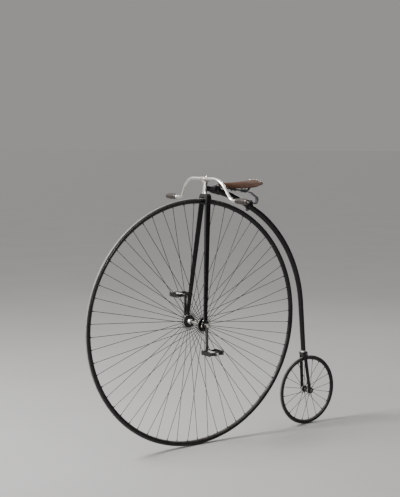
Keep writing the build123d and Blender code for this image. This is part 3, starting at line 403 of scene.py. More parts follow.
finishes = {
    "enamel": stoved_enamel("Black enamel"),
    "wheel_enamel": stoved_enamel("Wheel enamel", dust=0.35, wear=0.6),
    "nickel": plated_nickel("Nickel plate"),
    "soft_nickel": plated_nickel("Worn nickel plate", roughness=0.2, dust=0.16),
    "steel": bright_steel("Oiled steel"),
    "dark_steel": bright_steel("Dark steel", base=(0.055, 0.053, 0.051, 1), roughness=0.34, stain=0.5),
    "forged": bright_steel("Forged crank steel", base=(0.14, 0.137, 0.132, 1), roughness=0.24, stain=0.45),
    "front_wire": spoke_wire("Front spokes and flange", hub, 35.6 * mm, 38.0 * mm),
    "rear_wire": spoke_wire("Rear spokes and flange", rear_hub, 19.2 * mm, 21.0 * mm),
    "blued": bright_steel("Blued spring steel", base=(0.10, 0.105, 0.12, 1), roughness=0.3, stain=0.35),
    "hide": saddle_hide("Saddle hide"),
    "horn": turned_horn("Turned horn"),
}


# Shapes: each is a list of points and a list of faces, in metres

def hoop(section, middle):
    """A ring round an axle, from a closed section of (across, radius) pairs."""
    count = 320
    points, faces = [], []
    size = len(section)
    for k in range(count):
        angle = 2 * math.pi * k / count
        out = Vector((math.cos(angle), 0, math.sin(angle)))
        points += [middle + across * side + out * radius for side, radius in section]
    for k in range(count):
        here, after = k * size, (k + 1) % count * size
        for n in range(size):
            m = (n + 1) % size
            faces.append((here + n, here + m, after + m, after + n))
    return points, faces


def seated(shape, origin, direction, toward=None, turn=0.0):
    """A shape moved so that its +Z runs along a direction and its +X leans toward another."""
    along = Vector(direction).normalized()
    lean = Vector(toward) if toward is not None else (upward if abs(along.z) < 0.9 else across)
    right = (lean - along * lean.dot(along)).normalized()
    basis = Matrix((right, along.cross(right), along)).transposed() @ Matrix.Rotation(turn, 3, "Z")
    return [origin + basis @ point for point in shape[0]], shape[1]


def turned(profile, count, spot, direction, toward=None):
    """A turned form at a point, along a direction, from (height, radius) pairs in millimetres."""
    points, rows, faces = [], [], []
    for height, radius in profile:
        first = len(points)
        if radius < 1e-4:
            points.append(at(0, 0, height))
            rows.append([first] * count)
            continue
        for k in range(count):
            angle = 2 * math.pi * k / count
            points.append(at(radius * math.cos(angle), radius * math.sin(angle), height))
        rows.append(list(range(first, first + count)))
    for low, high in zip(rows, rows[1:]):
        for k in range(count):
            after = (k + 1) % count
            corners = list(dict.fromkeys((low[k], low[after], high[after], high[k])))
            if len(corners) > 2:
                faces.append(corners)
    return seated((points, faces), spot, direction, toward)


def tube(path, radius, count):
    """A round rod along points."""
    points = []
    side = None
    for k, spot in enumerate(path):
        ahead = (path[min(k + 1, len(path) - 1)] - path[max(k - 1, 0)]).normalized()
        side = ahead.orthogonal() if side is None else side - ahead * side.dot(ahead)
        side.normalize()
        other = ahead.cross(side)
        for n in range(count):
            angle = 2 * math.pi * n / count
            points.append(spot + (side * math.cos(angle) + other * math.sin(angle)) * radius)
    return points, skin(len(path), count)


def plate(length, width, thickness, corner):
    """A plate from z = 0 up, its length along +X, with rounded corners and soft edges, in millimetres."""
    length, width, thickness, corner, edge = (size * mm for size in (length, width, thickness, corner, 0.4))
    outline = []
    for quarter, (x, y) in enumerate(((1, 1), (-1, 1), (-1, -1), (1, -1))):
        for step in range(5):
            angle = math.radians(90 * quarter + 22.5 * step)
            middle = (x * (length / 2 - corner), y * (width / 2 - corner))
            outline.append(middle + (math.cos(angle), math.sin(angle)))
    points = []
    for height, inset in ((0, edge), (edge, 0), (thickness - edge, 0), (thickness, edge)):
        reach = corner - inset
        points += [Vector((x + reach * c, y + reach * s, height)) for x, y, c, s in outline]
    return points, skin(4, len(outline))


def skin(levels, size):
    """Faces that join rings of points one above another, with both ends closed."""
    faces = [tuple(range(size)), tuple(range((levels - 1) * size, levels * size))]
    for level in range(levels - 1):
        for n in range(size):
            m = (n + 1) % size
            low, high = level * size, (level + 1) * size
            faces.append((low + n, low + m, high + m, high + n))
    return faces


def new_object(name, data):
    """An object of the scene."""
    made = bpy.data.objects.new(name, data)
    bpy.context.scene.collection.objects.link(made)
    return made


def piece(name, shapes, body, finish, stands_for=(), sharp=32.0):
    """One piece from its shapes, riding on a body."""
    points, faces = [], []
    for shape_points, shape_faces in shapes:
        first = len(points)
        points += shape_points
        faces += [[first + index for index in face] for face in shape_faces]
    mesh = bpy.data.meshes.new(name)
    mesh.from_pydata([tuple(point) for point in points], [], faces)
    mesh.validate()
    finish_mesh(mesh, sharp)
    made = new_object(name, mesh)
    mesh.materials.append(finishes[finish] if isinstance(finish, str) else finish)
    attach(made, body)
    if stands_for:
        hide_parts(*stands_for)
    return made


def finish_mesh(mesh, sharp):
    """Outward faces and smooth shading that breaks at sharp edges."""
    work = bmesh.new()
    work.from_mesh(mesh)
    bmesh.ops.recalc_face_normals(work, faces=work.faces)
    work.to_mesh(mesh)
    work.free()
    mesh.polygons.foreach_set("use_smooth", [True] * len(mesh.polygons))
    mesh.set_sharp_from_angle(angle=math.radians(sharp))


# Small forms that repeat over the machine

def nut(spot, direction, toward, flats, height, dome=0.0):
    """A chamfered six-sided nut, with a domed end where it has one, in millimetres."""
    corner = flats / math.sqrt(3)
    chamfer = flats * 0.07
    body = [(0, 0), (0, corner * 0.93), (chamfer, corner), (height - chamfer, corner),
            (height, corner * 0.9), (height, 0)]
    shapes = [turned(body, 6, spot, direction, toward)]
    if dome:
        radius = flats * 0.36
        cap = [(height, radius)]
        for turn in (math.radians(15 * k) for k in range(7)):
            cap.append((height + dome * math.sin(turn), radius * math.cos(turn)))
        shapes.append(turned(cap, 24, spot, direction, toward))
    return shapes


def dome_head(spot, direction, radius, height, count):
    """A rivet's or pin's rounded head, in millimetres."""
    turns = [math.radians(angle) for angle in range(15, 90, 15)]
    rounded = [(height * math.sin(turn), radius * math.cos(turn)) for turn in turns]
    return turned([(0, 0), (0, radius)] + rounded + [(height, 0)], count, spot, direction)


def slotted_screw(spot, direction, toward, turn, radius, height):
    """A cheese-head screw and its slot, turned a little, in millimetres."""
    head = [(0, 0), (0, radius), (height * 0.45, radius), (height * 0.55, radius * 0.96), (height * 0.55, 0)]
    shapes = [turned(head, 24, Vector(), upward, (1, 0, 0))]
    start = math.asin(0.16)
    steps = 9
    for hand in (1, -1):
        angles = [start + (math.pi - 2 * start) * k / steps for k in range(steps + 1)]
        arc = [(radius * 0.96 * math.cos(angle), hand * radius * 0.96 * math.sin(angle)) for angle in angles]
        low = [at(x, y, height * 0.5) for x, y in arc]
        high = [at(x * 0.97, y * 0.98, height) for x, y in arc]
        shapes.append((low + high, skin(2, len(arc))))
    return [seated(shape, spot, direction, toward, turn) for shape in shapes]


def oil_cup(spot, direction, radius, height):
    """A small lidded oil cup, in millimetres."""
    profile = [(-1.0, 0), (-1.0, radius * 0.62), (height * 0.35, radius * 0.62), (height * 0.4, radius),
               (height * 0.82, radius), (height * 0.9, radius * 0.9), (height, radius * 0.45), (height, 0)]
    return turned(profile, 20, spot, direction)


# Wheels

def half_sizes(node):
    """Half the width of a wheel's part, and its radius."""
    low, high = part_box(node)
    return (high.y - low.y) / 2, (high.z - low.z) / 2


def tyre(end, middle):
    """A round solid tyre with a low mould line along its tread."""
    name = end + "_tyre_rubber"
    half, radius = half_sizes(end + "_tyre")
    seam_half, seam_height = 0.9 * mm, 0.35 * mm
    steps = 44
    section = []
    for k in range(steps):
        angle = 2 * math.pi * k / steps + math.pi / 2
        side, out = half * math.cos(angle), half * math.sin(angle)
        beside_seam = abs(side) > seam_half and out > half * 0.5
        reach = out - (seam_height if beside_seam else 0)
        section.append((side, radius - half + reach))
    rubber = tyre_rubber(name, middle, radius)
    shapes = [hoop(section, middle)]
    piece(name, shapes, end + "_wheel", rubber, (end + "_tyre",), sharp=60)


def rim(end, middle, belly):
    """A crescent rim rolled from sheet, with beaded lips."""
    lip_half, lip_radius = half_sizes(end + "_rim")
    tyre_half, tyre_radius = half_sizes(end + "_tyre")
    seat = tyre_half + 0.12 * mm
    tyre_middle = tyre_radius - tyre_half
    rise = lip_radius - tyre_middle
    bead = (lip_half - math.sqrt(seat**2 - rise**2)) / 2
    depth = lip_radius - belly

    def beaded_lip(side):
        """The rounded edge at one side of the rim."""
        turns = [math.pi * k / 7 for k in range(1, 7)]
        return [(side + bead * math.cos(turn), lip_radius + bead * 0.9 * math.sin(turn)) for turn in turns]

    section = []
    for k in range(25):
        angle = math.pi + math.pi * k / 24
        section.append((lip_half * math.cos(angle), lip_radius + depth * math.sin(angle)))
    section += beaded_lip(lip_half - bead)
    seat_angle = math.asin(rise / seat)
    for k in range(21):
        angle = seat_angle - (math.pi + 2 * seat_angle) * k / 20
        section.append((seat * math.cos(angle), tyre_middle + seat * math.sin(angle)))
    section += beaded_lip(-lip_half + bead)
    piece(end + "_rim_steel", [hoop(section, middle)], end + "_wheel", "wheel_enamel",
          (end + "_rim",), sharp=50)


def spoke_ends(end, middle, side, spokes, phase, flange_half, hub_reach, rim_reach, wire):
    """Butted ends at the flange and nipples at the rim of one side's spokes, in millimetres."""
    rim_spread = 2        # from the rim's middle
    hand = sides[side]
    butt = [(-1, 0), (-1, wire * 1.15), (0, wire * 0.9), (7, wire * 0.9), (16, wire * 0.52)]
    nipple = [(-9, wire * 0.52), (-8.2, wire * 0.85), (-1.5, wire * 1.05), (0, wire * 1.35),
              (1.5, wire * 1.35)]
    shapes = []
    for k in range(spokes):
        angle = math.radians(phase + 360 / spokes * k)
        out = Vector((math.cos(angle), 0, math.sin(angle)))
        start = middle + (out * hub_reach + across * hand * flange_half) * mm
        tip = middle + (out * rim_reach + across * hand * rim_spread) * mm
        along = (tip - start).normalized()
        shapes.append(turned(butt, 10, start + along * 6.5 * mm, along))
        shapes.append(turned(nipple, 10, tip - along * 3.0 * mm, along))
    piece(end + "_spoke_ends_" + side, shapes, end + "_wheel", "dark_steel", sharp=40)


# Rim's inner radius in metres, spokes a side, angle of the first one in degrees, then in millimetres:
# flange from the middle, where spokes start, where they end, and the thickness of their ends
wheels = {
    "front": (hub, 0.657, 30, -1.3, 69.5, 31, 660, 2.9),
    "rear": (rear_hub, 0.182, 10, 30, 26, 16, 185, 2.7),
}
for end, (middle, belly, spokes, phase, *reaches) in wheels.items():
    tyre(end, middle)
    rim(end, middle, belly)
    for side, hand in sides.items():
        offset = 0 if hand > 0 else 180 / spokes
        spoke_ends(end, middle, side, spokes, phase + offset, *reaches)


# Saddle leather, stretched from the nose to the cantle

# Ahead of the seat, half width, crown and depth of the sides, in millimetres
leather_rows = (
    (157.5, 11.5, -8.6, 12.0), (153.0, 16.5, -7.9, 17.0), (140.0, 20.0, -6.9, 21.5),
    (112.0, 24.0, -5.6, 27.0), (80.0, 29.0, -4.3, 31.5), (45.0, 38.5, -2.2, 34.0),
    (10.0, 53.5, 0.4, 35.0), (-25.0, 69.5, 2.2, 34.0), (-55.0, 81.5, 4.6, 31.0),
    (-80.0, 86.5, 7.8, 26.0), (-96.0, 85.0, 10.3, 23.0), (-101.5, 80.0, 11.2, 20.0),
)
leather_thickness = 4.3
cantle_curve = 168.8      # radius of the leather over the cantle plate
pressed_line = 0.925      # share of the half width
pressed_depth = 0.55


def along_rows(ahead):
    """Half width, crown and depth at a place along the saddle, curved smoothly from row to row."""
    rows = leather_rows
    k = next((k for k in range(len(rows) - 1) if ahead >= rows[k + 1][0]), len(rows) - 2)
    before, low, high, after = rows[max(k - 1, 0)], rows[k], rows[k + 1], rows[min(k + 2, len(rows) - 1)]
    span = high[0] - low[0]
    s = (ahead - low[0]) / span
    values = []
    for n in range(1, 4):
        slope_low = (high[n] - before[n]) / (high[0] - before[0])
        slope_high = (after[n] - low[n]) / (after[0] - low[0])
        values.append((2 * s**3 - 3 * s**2 + 1) * low[n] + (s**3 - 2 * s**2 + s) * span * slope_low
                      + (3 * s**2 - 2 * s**3) * high[n] + (s**3 - s**2) * span * slope_high)
    return values


def eased(value, low, high):
    """0 at one value and 1 at the other, smooth at both."""
    share = min(max((value - low) / (high - low), 0.0), 1.0)
    return share * share * (3 - 2 * share)


def leather_point(ahead, turn):
    """A point of the leather's upper face: turn runs from -1 at the right edge to 1 at the left one."""
    half, crown, depth = along_rows(ahead)
    side = half * math.sin(turn * math.pi / 2)
    rounded = depth * (1 - math.cos(turn * math.pi / 2)) ** 0.92
    stretched = cantle_curve - math.sqrt(cantle_curve**2 - side**2)
    flat = eased(ahead, -52, -86)
    height = crown - rounded * (1 - flat) - stretched * flat
    # A shallow channel along the middle, and a hollow each side of it
    height -= 1.3 * math.exp(-(side / 10) ** 2) * eased(ahead, -88, -40) * eased(ahead, 110, 20)
    for hand in (1, -1):
        height -= 2.6 * math.exp(-((ahead + 44) / 26) ** 2 - ((side - hand * 40) / 19) ** 2)
    waves = noise.noise(Vector((ahead / 46, side / 34, 0.7))) * 0.7
    wrinkles = noise.noise(Vector((ahead / 15, side / 12, 3))) * 0.22
    height += (waves + wrinkles) * (1 - flat)
    # Cantle and nose are rounded as seen from above
    cantle = 13.0 * abs(turn) ** 3 * eased(ahead, -45, -101)
    nose = 7.0 * turn**2 * eased(ahead, 120, 157)
    return at(ahead + cantle - nose, side * (1 + 0.012 * abs(turn) ** 6), height)


def leather_normal(ahead, turn):
    """The direction square to the leather's upper face."""
    along = leather_point(ahead + 0.4, turn) - leather_point(ahead - 0.4, turn)
    over = leather_point(ahead, min(turn + 0.008, 1)) - leather_point(ahead, max(turn - 0.008, -1))
    return along.cross(over).normalized()


def cut_edge(upper, under, loop):
    """Rings of points that round the leather's edge from its upper to its under face."""
    centre = sum(upper, Vector()) / len(upper)
    rings = []
    for share, swell in ((0.22, 0.62), (0.5, 1.0), (0.78, 0.62)):
        ring = []
        for k, index in enumerate(loop):
            ahead_of, behind = upper[loop[(k + 1) % len(loop)]], upper[loop[k - 1]]
            down = (under[index] - upper[index]).normalized()
            out = (ahead_of - behind).cross(down).normalized()
            if out.dot(upper[index] - centre) < 0:
                out = -out
            ring.append(upper[index].lerp(under[index], share) + out * swell * leather_thickness * 0.32 * mm)
        rings.append(ring)
    return rings


def saddle_top():
    """The leather: upper and under face, joined by a rounded cut edge, with a pressed line inside it."""
    front, back = leather_rows[0][0], leather_rows[-1][0]
    rows = [front + (back - front) * (k / 84) for k in range(85)]
    turns = [-1 + 2 * k / 60 for k in range(61)]
    turns += [hand * (pressed_line + step) for hand in (1, -1) for step in (-0.012, 0.0, 0.012)]
    turns.sort()
    wide, long = len(turns), len(rows)
    upper, under = [], []
    for ahead in rows:
        for turn in turns:
            spot, square = leather_point(ahead, turn), leather_normal(ahead, turn)
            groove = pressed_depth * mm if abs(abs(turn) - pressed_line) < 1e-6 else 0
            upper.append(spot - square * groove)
            under.append(spot - square * leather_thickness * mm)
    loop = list(range(wide)) + [k * wide + wide - 1 for k in range(1, long)]
    loop += [(long - 1) * wide + k for k in range(wide - 2, -1, -1)]
    loop += [k * wide for k in range(long - 2, 0, -1)]
    edges = cut_edge(upper, under, loop)
    points = upper + under + [spot for ring in edges for spot in ring]
    faces = []
    for k in range(long - 1):
        for n in range(wide - 1):
            corners = (k * wide + n, k * wide + n + 1, (k + 1) * wide + n + 1, (k + 1) * wide + n)
            faces += [corners, tuple(len(upper) + index for index in reversed(corners))]
    first = 2 * len(upper)
    rings = [loop] + [[first + k * len(loop) + n for n in range(len(loop))] for k in range(3)]
    rings.append([len(upper) + index for index in loop])
    for low, high in zip(rings, rings[1:]):
        for n in range(len(loop)):
            m = (n + 1) % len(loop)
            faces.append((low[n], low[m], high[m], high[n]))
    made = piece("saddle_hide", [(points, faces)], "frame", "hide", ("saddle_leather",), sharp=70)
    smoother = made.modifiers.new("smoother", "SUBSURF")
    smoother.levels = smoother.render_levels = 1


def saddle_rivets():
    """Rivets that hold the leather along the cantle and at the nose."""
    rivets = []
    cantle_rivets = [(-95.5, 0.16 * k) for k in range(-3, 4)]
    nose_rivets = [(142.0, 0.0), (131.0, 0.36), (131.0, -0.36)]
    for ahead, turn in cantle_rivets + nose_rivets:
        radius = 4.4 if ahead < 0 else 3.4
        rivets.append(dome_head(leather_point(ahead, turn), leather_normal(ahead, turn), radius, 2.0, 24))
    piece("saddle_rivets", rivets, "frame", "soft_nickel")


def saddle_fittings():
    """Bolts and plates that hold the spring to the neck and the clip, and the saddle to the spring."""
    # Spring to neck
    back = Vector((-0.970252, 0, -0.242097))
    square = across.cross(back)
    top = at(164.965, 0, -25.642) + square * 2.25 * mm
    plates = [seated(plate(32, 22, 2.4, 5), top, square, back)]
    bolts = []
    for step in (-9, 9):
        bolts += nut(top + (square * 2.4 + back * step) * mm, square, back, 10, 5, 2.5)

    # Clip on the backbone
    clip = at(-58, 0, -138.321)
    clip_up = Vector((-0.485151, 0, 0.874431))
    clip_ahead = across.cross(clip_up)
    top = clip + clip_up * 27.5 * mm
    plates.append(seated(plate(24, 23, 2.4, 3), top, clip_up, clip_ahead))
    bolts += nut(top + clip_up * 2.4 * mm, clip_up, clip_ahead, 11, 5.5, 3)
    below = clip - clip_up * 24.5 * mm
    for hand in (1, -1):
        ear = below + across * hand * 1.2 * mm
        plates.append(seated(plate(16, 13, 4, 5), ear, across * hand, clip_ahead))
        end = below + across * hand * 5.2 * mm
        bolts += nut(end, across * hand, clip_ahead, 9, 4.5, 1.5 if hand < 0 else 0)

    # Clamps of the saddle's frame on the spring
    rise = 0.148507
    slope = Vector((1, 0, rise)).normalized()
    lift = slope.cross(across)
    for x in (52, -18):
        middle = at(x, 0, -62 + (x + 66) * rise + 2.27)
        plates.append(seated(plate(18, 40, 2.6, 4), middle + lift * 6.3 * mm, lift, slope))
        plates.append(seated(plate(18, 40, 2.6, 4), middle - lift * 4.6 * mm, -lift, slope))
        for hand in (1, -1):
            side = middle + across * hand * 16 * mm
            plates.append(tube([side - lift * 12 * mm, side + lift * 12.5 * mm], 2.5 * mm, 12))
            bolts += nut(side + lift * 8.9 * mm, lift, slope, 8.5, 4)
            bolts += nut(side - lift * 7.2 * mm, -lift, slope, 8.5, 4.5)

    # Nose
    plates.append(seated(plate(20, 22, 4.4, 6), at(134, 0, -17.2), (-0.17, 0, 0.985), (1, 0, 0.17)))
    bolts += nut(at(133, 0, -21.4), (0.17, 0, -0.985), (1, 0, 0), 11, 6, 2)
    piece("saddle_bolts", bolts, "frame", "steel")
    piece("saddle_plates", plates, "frame", "blued")


saddle_top()
saddle_rivets()
saddle_fittings()


# Handlebar grips and the fittings of the head and fork, in millimetres

bar_height = 794          # above the axle, up the steering axis
bearing_side = 87.5       # middle of a bearing, from the bicycle's middle plane
leg_foot = 27             # where a leg stands on its bearing
leg_closes = 58           # how far a leg leans in
leg_run = 641             # over this height


def grip(side, hand):
    """A pear-shaped horn grip with a bead near each end, a plated ferrule and a plated end button."""
    mount = mounts["handlebar_end_" + side]
    outward = Vector((0, hand, 0))
    start = Vector(mount["pos_m"]) - outward * 52 * mm
    horn = [(7.5, 9.0)]
    for k in range(97):
        z = 7.5 + k
        swell = 12 + 0.17628 * z - 0.0016026 * z * z
        cut = sum(0.6 * math.exp(-((z - ring) / 0.8) ** 2) for ring in (14.5, 18.5, 96.5, 100.5))
        horn.append((z, swell - cut))
    for turn in (math.radians(10 * k) for k in range(1, 10)):
        horn.append((104 + 5.2 * math.sin(turn), 12.9 * math.cos(turn)))
    piece("grip_horn_" + side, [turned(horn, 48, start, outward)], "steering", "horn",
          ("grip_" + side,), sharp=50)
    ferrule = [(-0.6, 8.8), (-0.6, 10.6), (0.4, 11.6), (1.8, 11.9), (2.4, 11.2), (3.2, 11.9), (7.2, 12.6),
               (8.2, 12.3), (8.2, 9)]
    button = [(107.6, 0), (107.6, 6.4), (108.8, 6.2), (109.8, 4.6), (110.2, 2.4), (110.3, 0)]
    plated = [turned(form, 40, start, outward) for form in (ferrule, button)]
    piece("grip_ferrule_" + side, plated, "steering", "nickel")


def head_fittings():
    """Collars beside the bar's lug, its pinch screw, a washer and cap on the bolt, and an oil cup."""
    collar = [(-0.5, 8.9), (-0.5, 11.6), (1.0, 11.4), (2.2, 10.3), (3.0, 10.5), (3.8, 10.2), (4.4, 9.2),
              (4.4, 8.8)]
    washer = [(0, 7), (0, 11.2), (0.4, 11.5), (1.2, 11.5), (1.6, 11.1), (1.6, 7)]
    cap = [(0, 0), (0, 5.4), (0.8, 5.9), (2.0, 5.9), (3.0, 5.2), (4.2, 3.2), (4.6, 0)]
    bar_middle = on_fork(21, 0, bar_height)
    shapes = [turned(collar, 40, bar_middle + across * hand * 14 * mm, across * hand) for hand in (1, -1)]
    shapes += slotted_screw(on_fork(32.4, 0, bar_height), steering_ahead, steering_up, 0.5, 4.2, 3.0)
    shapes.append(turned(washer, 40, on_fork(0, 0, 795.9), steering_up))
    shapes.append(turned(cap, 32, on_fork(0, 0, 807.4), steering_up))
    shapes.append(oil_cup(on_fork(-3, 13.4, 786), across, 3.4, 6.5))
    piece("head_fittings", shapes, "steering", "nickel")


def leg_sleeve(hand, levels):
    """A sleeve round a leg of the fork, from (height, length, width) of its sections, in millimetres."""
    count = 40
    points = []
    for height, length, width in levels:
        leg_side = hand * (bearing_side - (height - leg_foot) * leg_closes / leg_run)
        flat = (length - width) / 2
        for k in range(count):
            angle = 2 * math.pi * (k + 0.5) / count
            ahead = math.copysign(flat, math.cos(angle)) + width / 2 * math.cos(angle)
            points.append(on_fork(ahead, leg_side + width / 2 * math.sin(angle), height))
    return points, skin(len(levels), count)


def fork_fittings():
    """Shoes and beads at both ends of the legs, and the bearings' oil cups, nuts and rings."""
    shoe = ((24.6, 25.4, 11.0), (25.6, 28.0, 12.6), (29.0, 28.2, 13.2), (33.0, 27.0, 12.6),
            (40.0, 25.6, 11.3), (45.0, 24.9, 10.6), (46.0, 24.4, 10.1))
    bead = ((655.0, 34.0, 13.0), (656.0, 35.2, 14.2), (658.0, 35.8, 14.8), (665.0, 35.8, 15.4),
            (668.4, 35.2, 15.6))
    ring = [(-0.6, 19.6), (-0.6, 20.6), (-0.2, 21.0), (0.2, 21.0), (0.6, 20.6), (0.6, 19.6)]
    toward = (steering_ahead * 0.94 - steering_up * 0.34).normalized()
    dark, bright = [], []
    for hand in sides.values():
        dark += [leg_sleeve(hand, levels) for levels in (shoe, bead)]
        for end in (1, -1):
            spot = on_fork(end * 13.3, hand * bearing_side, 23.4)
            bright += nut(spot, steering_ahead * end, steering_up, 8, 4, 1.2)
        bright.append(oil_cup(on_fork(0, hand * bearing_side, 0) + toward * 19.6 * mm, toward, 3.8, 7.5))
        for level in (84.6, 90.4):
            bright.append(turned(ring, 56, hub + across * hand * level * mm, across))
    piece("fork_shoes", dark, "steering", "enamel", sharp=40)
    piece("bearing_fittings", bright, "steering", "soft_nickel")


for side, hand in sides.items():
    grip(side, hand)
head_fittings()
fork_fittings()


# Cranks, pedals and hub

def crank_fittings():
    """Cotter pins with nuts, axle caps, nuts and studs on the pedal spindles, and the hub's oil cup."""
    pin = [(-16.0, 0), (-16.0, 2.2), (-15.4, 2.6), (-10.0, 2.7), (-10.0, 3.3), (12.6, 3.9), (13.6, 3.7),
           (14.2, 2.8), (14.4, 0)]
    cap = [(-0.4, 0), (-0.4, 10.6), (1.0, 10.6), (1.8, 10.0), (2.0, 8.8), (1.6, 8.2), (1.6, 7.2), (2.6, 6.6),
           (4.0, 4.2), (4.4, 0)]
    stud = [(0, 0), (0, 7.6), (1.0, 7.2), (1.6, 5.0), (1.8, 0)]
    shapes = []
    for side, hand in sides.items():
        boss = hub + across * hand * 106 * mm + upward * hand * 8.4 * mm
        shapes.append(turned(pin, 24, boss, (1, 0, 0)))
        shapes += nut(boss + at(-11.4, 0, 0), (-1, 0, 0), upward, 8.5, 4.0)
        shapes.append(turned(cap, 40, hub + across * hand * 115 * mm, across * hand))
        eye = pedal_middle[side].copy()
        eye.y = hand * 207 * mm
        shapes += nut(eye, across * hand, upward, 13, 3.4, 2.2)
        eye.y = hand * 98.8 * mm
        shapes.append(turned(stud, 28, eye, across * -hand))
    shapes.append(oil_cup(hub + at(0, 0, 9.4), upward, 4.0, 8.0))
    piece("crank_fittings", shapes, "front_wheel", "soft_nickel")


def pedal_fittings(side):
    """Tie rods, rivets at the tread plates' ends and rings round the bosses of one pedal."""
    middle = pedal_middle[side]
    ring = [(0, 6), (0, 11.8), (0.5, 12.2), (1.0, 11.8), (1.5, 9.0), (1.5, 6)]
    collar = [(32.6, 9.6), (33.8, 11.4), (35.2, 11.4), (36, 9.0)]
    mirrored = [(-height, radius) for height, radius in reversed(collar)]
    shapes = []
    for end in (1, -1):
        shapes.append(tube([middle + at(end * 37, y, 0) for y in (-39.6, 39.6)], 2.3 * mm, 14))
        for out in (1, -1):
            shapes += nut(middle + at(end * 37, out * 40, 0), across * out, upward, 7.6, 2.8)
            for z in (-5.4, 5.4):
                shapes.append(dome_head(middle + at(end * 46, out * 34.5, z), (end, 0, 0), 2.1, 1.3, 16))
    for out in (1, -1):
        shapes.append(turned(ring, 40, middle + at(0, out * 40, 0), across * out))
    for profile in (mirrored, collar):
        shapes.append(turned(profile, 40, middle, across))
    piece("pedal_fittings_" + side, shapes, "pedal_" + side, "forged")


crank_fittings()
for side in sides:
    pedal_fittings(side)


# Neck, backbone ends and rear fork

def frame_fittings():
    """Beads and a ring where the backbone ends, and the screws, washers and nuts beside them."""
    bead = [(-1.2, 16.6), (-1.2, 20.0), (0.6, 20.4), (2.4, 19.8), (4.2, 18.2), (6.0, 17.3), (6.0, 16.6)]
    lower = [(-1.0, 0), (-1.0, 16.6), (1.6, 16.6), (3.2, 16.0), (5.4, 15.2), (9.0, 14.7), (9.0, 14.2)]
    washer = [(0, 5), (0, 10.6), (0.4, 10.9), (1.3, 10.9), (1.7, 10.5), (1.7, 5)]
    dark = [turned(bead, 56, at(149.33, 0, -53.70), (-0.96433, 0, -0.26472))]
    ring = turned(lower, 48, at(-473.75, 0, -1018.50), (0.0877, 0, 0.9961))
    bright = []
    for hand in (1, -1):
        spot = at(170.59, hand * 19.2, -48.20)
        bright += slotted_screw(spot, across * hand, upward, 0.4 * hand, 4.4, 2.6)
        bright.append(turned(washer, 36, rear_hub + across * hand * 36.4 * mm, across * hand))
        bright += nut(rear_hub + across * hand * 38.0 * mm, across * hand, upward, 17, 5.4, 3.2)
    fork_up = Vector((0.14147, 0, 0.98994))
    bright += nut(rear_hub + fork_up * 225 * mm + across * 24.8 * mm, across, fork_up, 12, 5, 1.5)
    piece("frame_beads", dark, "frame", "enamel", sharp=45)
    piece("frame_fittings", bright, "frame", "forged")
    piece("backbone_ring", [ring], "frame", "soft_nickel")


def rear_hub_fittings():
    """An oil cup and two turned rings on the rear hub's barrel."""
    ring = [(-1.6, 9.8), (-1.2, 11.2), (0, 11.6), (1.2, 11.2), (1.6, 9.8)]
    shapes = [oil_cup(rear_hub + at(0, 0, 9.6), upward, 3.2, 6.5)]
    for y in (-13, 13):
        shapes.append(turned(ring, 40, rear_hub + at(0, y, 0), across))
    piece("rear_hub_fittings", shapes, "rear_wheel", "forged")


frame_fittings()
rear_hub_fittings()


# Carried-over pieces by their finish
node_finishes = {
    "enamel": "bearing_left bearing_right fork_leg_left fork_leg_right fork_crown backbone neck rear_crown "
              "rear_blade_left rear_blade_right spring_clip",
    "nickel": "front_hub steering_head head_bolt handlebar",
    "soft_nickel": "pedal_barrel_left pedal_barrel_right mounting_step",
    "steel": "front_axle spindle_left spindle_right",
    "dark_steel": "pedal_cage_left pedal_cage_right rear_axle",
    "forged": "crank_left crank_right",
    "blued": "saddle_spring saddle_frame",
    "front_wire": "front_spokes_left front_spokes_right",
    "rear_wire": "rear_spokes",
}
for finish, nodes in node_finishes.items():
    for node in nodes.split():
        slots = frame["nodes"][node].data.materials
        slots.clear()
        slots.append(finishes[finish])

# Carried-over pieces by the width of their softened edges, in millimetres
softened = {
    1.2: "neck",
    1.0: "fork_crown",
    0.8: "steering_head rear_crown spring_clip",
    0.7: "crank_left crank_right",
    0.5: "bearing_left bearing_right saddle_spring rear_blade_left rear_blade_right",
    0.4: "mounting_step saddle_frame head_bolt front_hub",
    0.25: "pedal_cage_left pedal_cage_right",
}
for width, nodes in softened.items():
    for node in nodes.split():
        edge = frame["nodes"][node].modifiers.new("softened", "BEVEL")
        edge.width = width * mm
        edge.segments = 2
        edge.limit_method = "ANGLE"
        edge.angle_limit = math.radians(30)


# Floor, light and camera

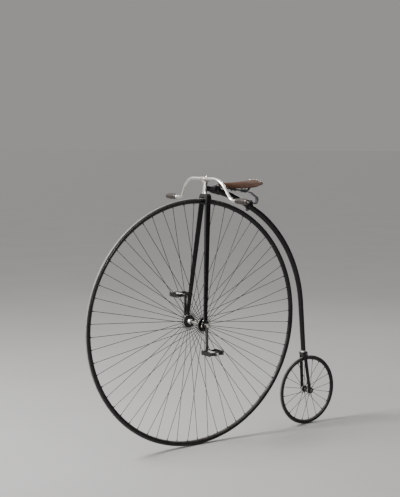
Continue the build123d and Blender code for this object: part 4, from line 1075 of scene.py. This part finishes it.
def studio():
    """A pale floor, a surround that is bright ahead of the machine and dim beside it, and soft lights."""
    reach = 400.0
    mesh = bpy.data.meshes.new("studio_floor")
    corners = [(x * reach, y * reach, floor_height) for x, y in ((-1, -1), (1, -1), (1, 1), (-1, 1))]
    mesh.from_pydata(corners, [], [(0, 1, 2, 3)])
    floor = new_object("studio_floor", mesh)
    material, _, shader, point = new_material("Pale floor")
    patches = noise_at(point, 1.3, 6.0)
    shade = blend_colours(patches, (0.265, 0.262, 0.257, 1), (0.30, 0.297, 0.292, 1))
    feed(shader, "Base Color", shade)
    feed(shader, "Roughness", 0.8)
    mesh.materials.append(material)

    world = bpy.data.worlds.new("Studio")
    world.use_nodes = True
    bpy.context.scene.world = world
    tree = world.node_tree
    surround = tree.nodes["Background"]
    view = add(tree, "ShaderNodeTexCoord").outputs["Generated"]
    bright_side = (0.72, -0.22, 0.66)
    toward = add(tree, "ShaderNodeVectorMath", {0: view, 1: bright_side}, operation="DOT_PRODUCT")
    glow = between(toward.outputs["Value"], -0.25, 0.95, 0.0, 1.0)
    sky = blend_colours(glow, (0.11, 0.11, 0.115, 1), (1.5, 1.485, 1.455, 1))
    seen = add(tree, "ShaderNodeLightPath").outputs["Is Camera Ray"]
    feed(surround, "Color", blend_colours(seen, sky, (0.314, 0.310, 0.304, 1)))
    feed(surround, "Strength", 1.0)

    aim = Vector((0.0, 0.0, -0.65))
    lights = (
        ("sky_light", Vector((3.2, -0.9, 2.5)), 1.5, 1.5, 430.0),
        ("front_window", Vector((6.5, -1.6, 1.2)), 3.0, 2.4, 150.0),
        ("side_fill", Vector((1.6, 4.6, 1.4)), 2.2, 2.2, 7.0),
        ("back_light", Vector((-3.4, -2.2, 1.8)), 1.4, 1.4, 40.0),
    )
    for name, spot, width, height, power in lights:
        lamp = bpy.data.lights.new(name, "AREA")
        lamp.shape = "RECTANGLE"
        lamp.size = width
        lamp.size_y = height
        lamp.energy = power
        holder = new_object(name, lamp)
        holder.visible_camera = False
        holder.location = spot
        holder.rotation_euler = (spot - aim).to_track_quat("Z", "Y").to_euler()


def photograph_camera():
    """The camera that took the photograph, fitted to both wheels."""
    level = math.cos(camera_pitch)
    ahead = Vector((-math.sin(camera_yaw) * level, -math.cos(camera_yaw) * level, -math.sin(camera_pitch)))
    right = ahead.cross(upward).normalized()
    turn = Matrix((right, right.cross(ahead), -ahead)).transposed() @ Matrix.Rotation(camera_roll, 3, "Z")
    lens = bpy.data.cameras.new("photograph_camera")
    lens.lens = camera_lens
    lens.sensor_width = camera_sensor
    lens.clip_end = 900.0
    camera = new_object("photograph_camera", lens)
    camera.matrix_world = Matrix.Translation(hub + camera_from_hub) @ turn.to_4x4()
    bpy.context.scene.camera = camera


studio()
photograph_camera()
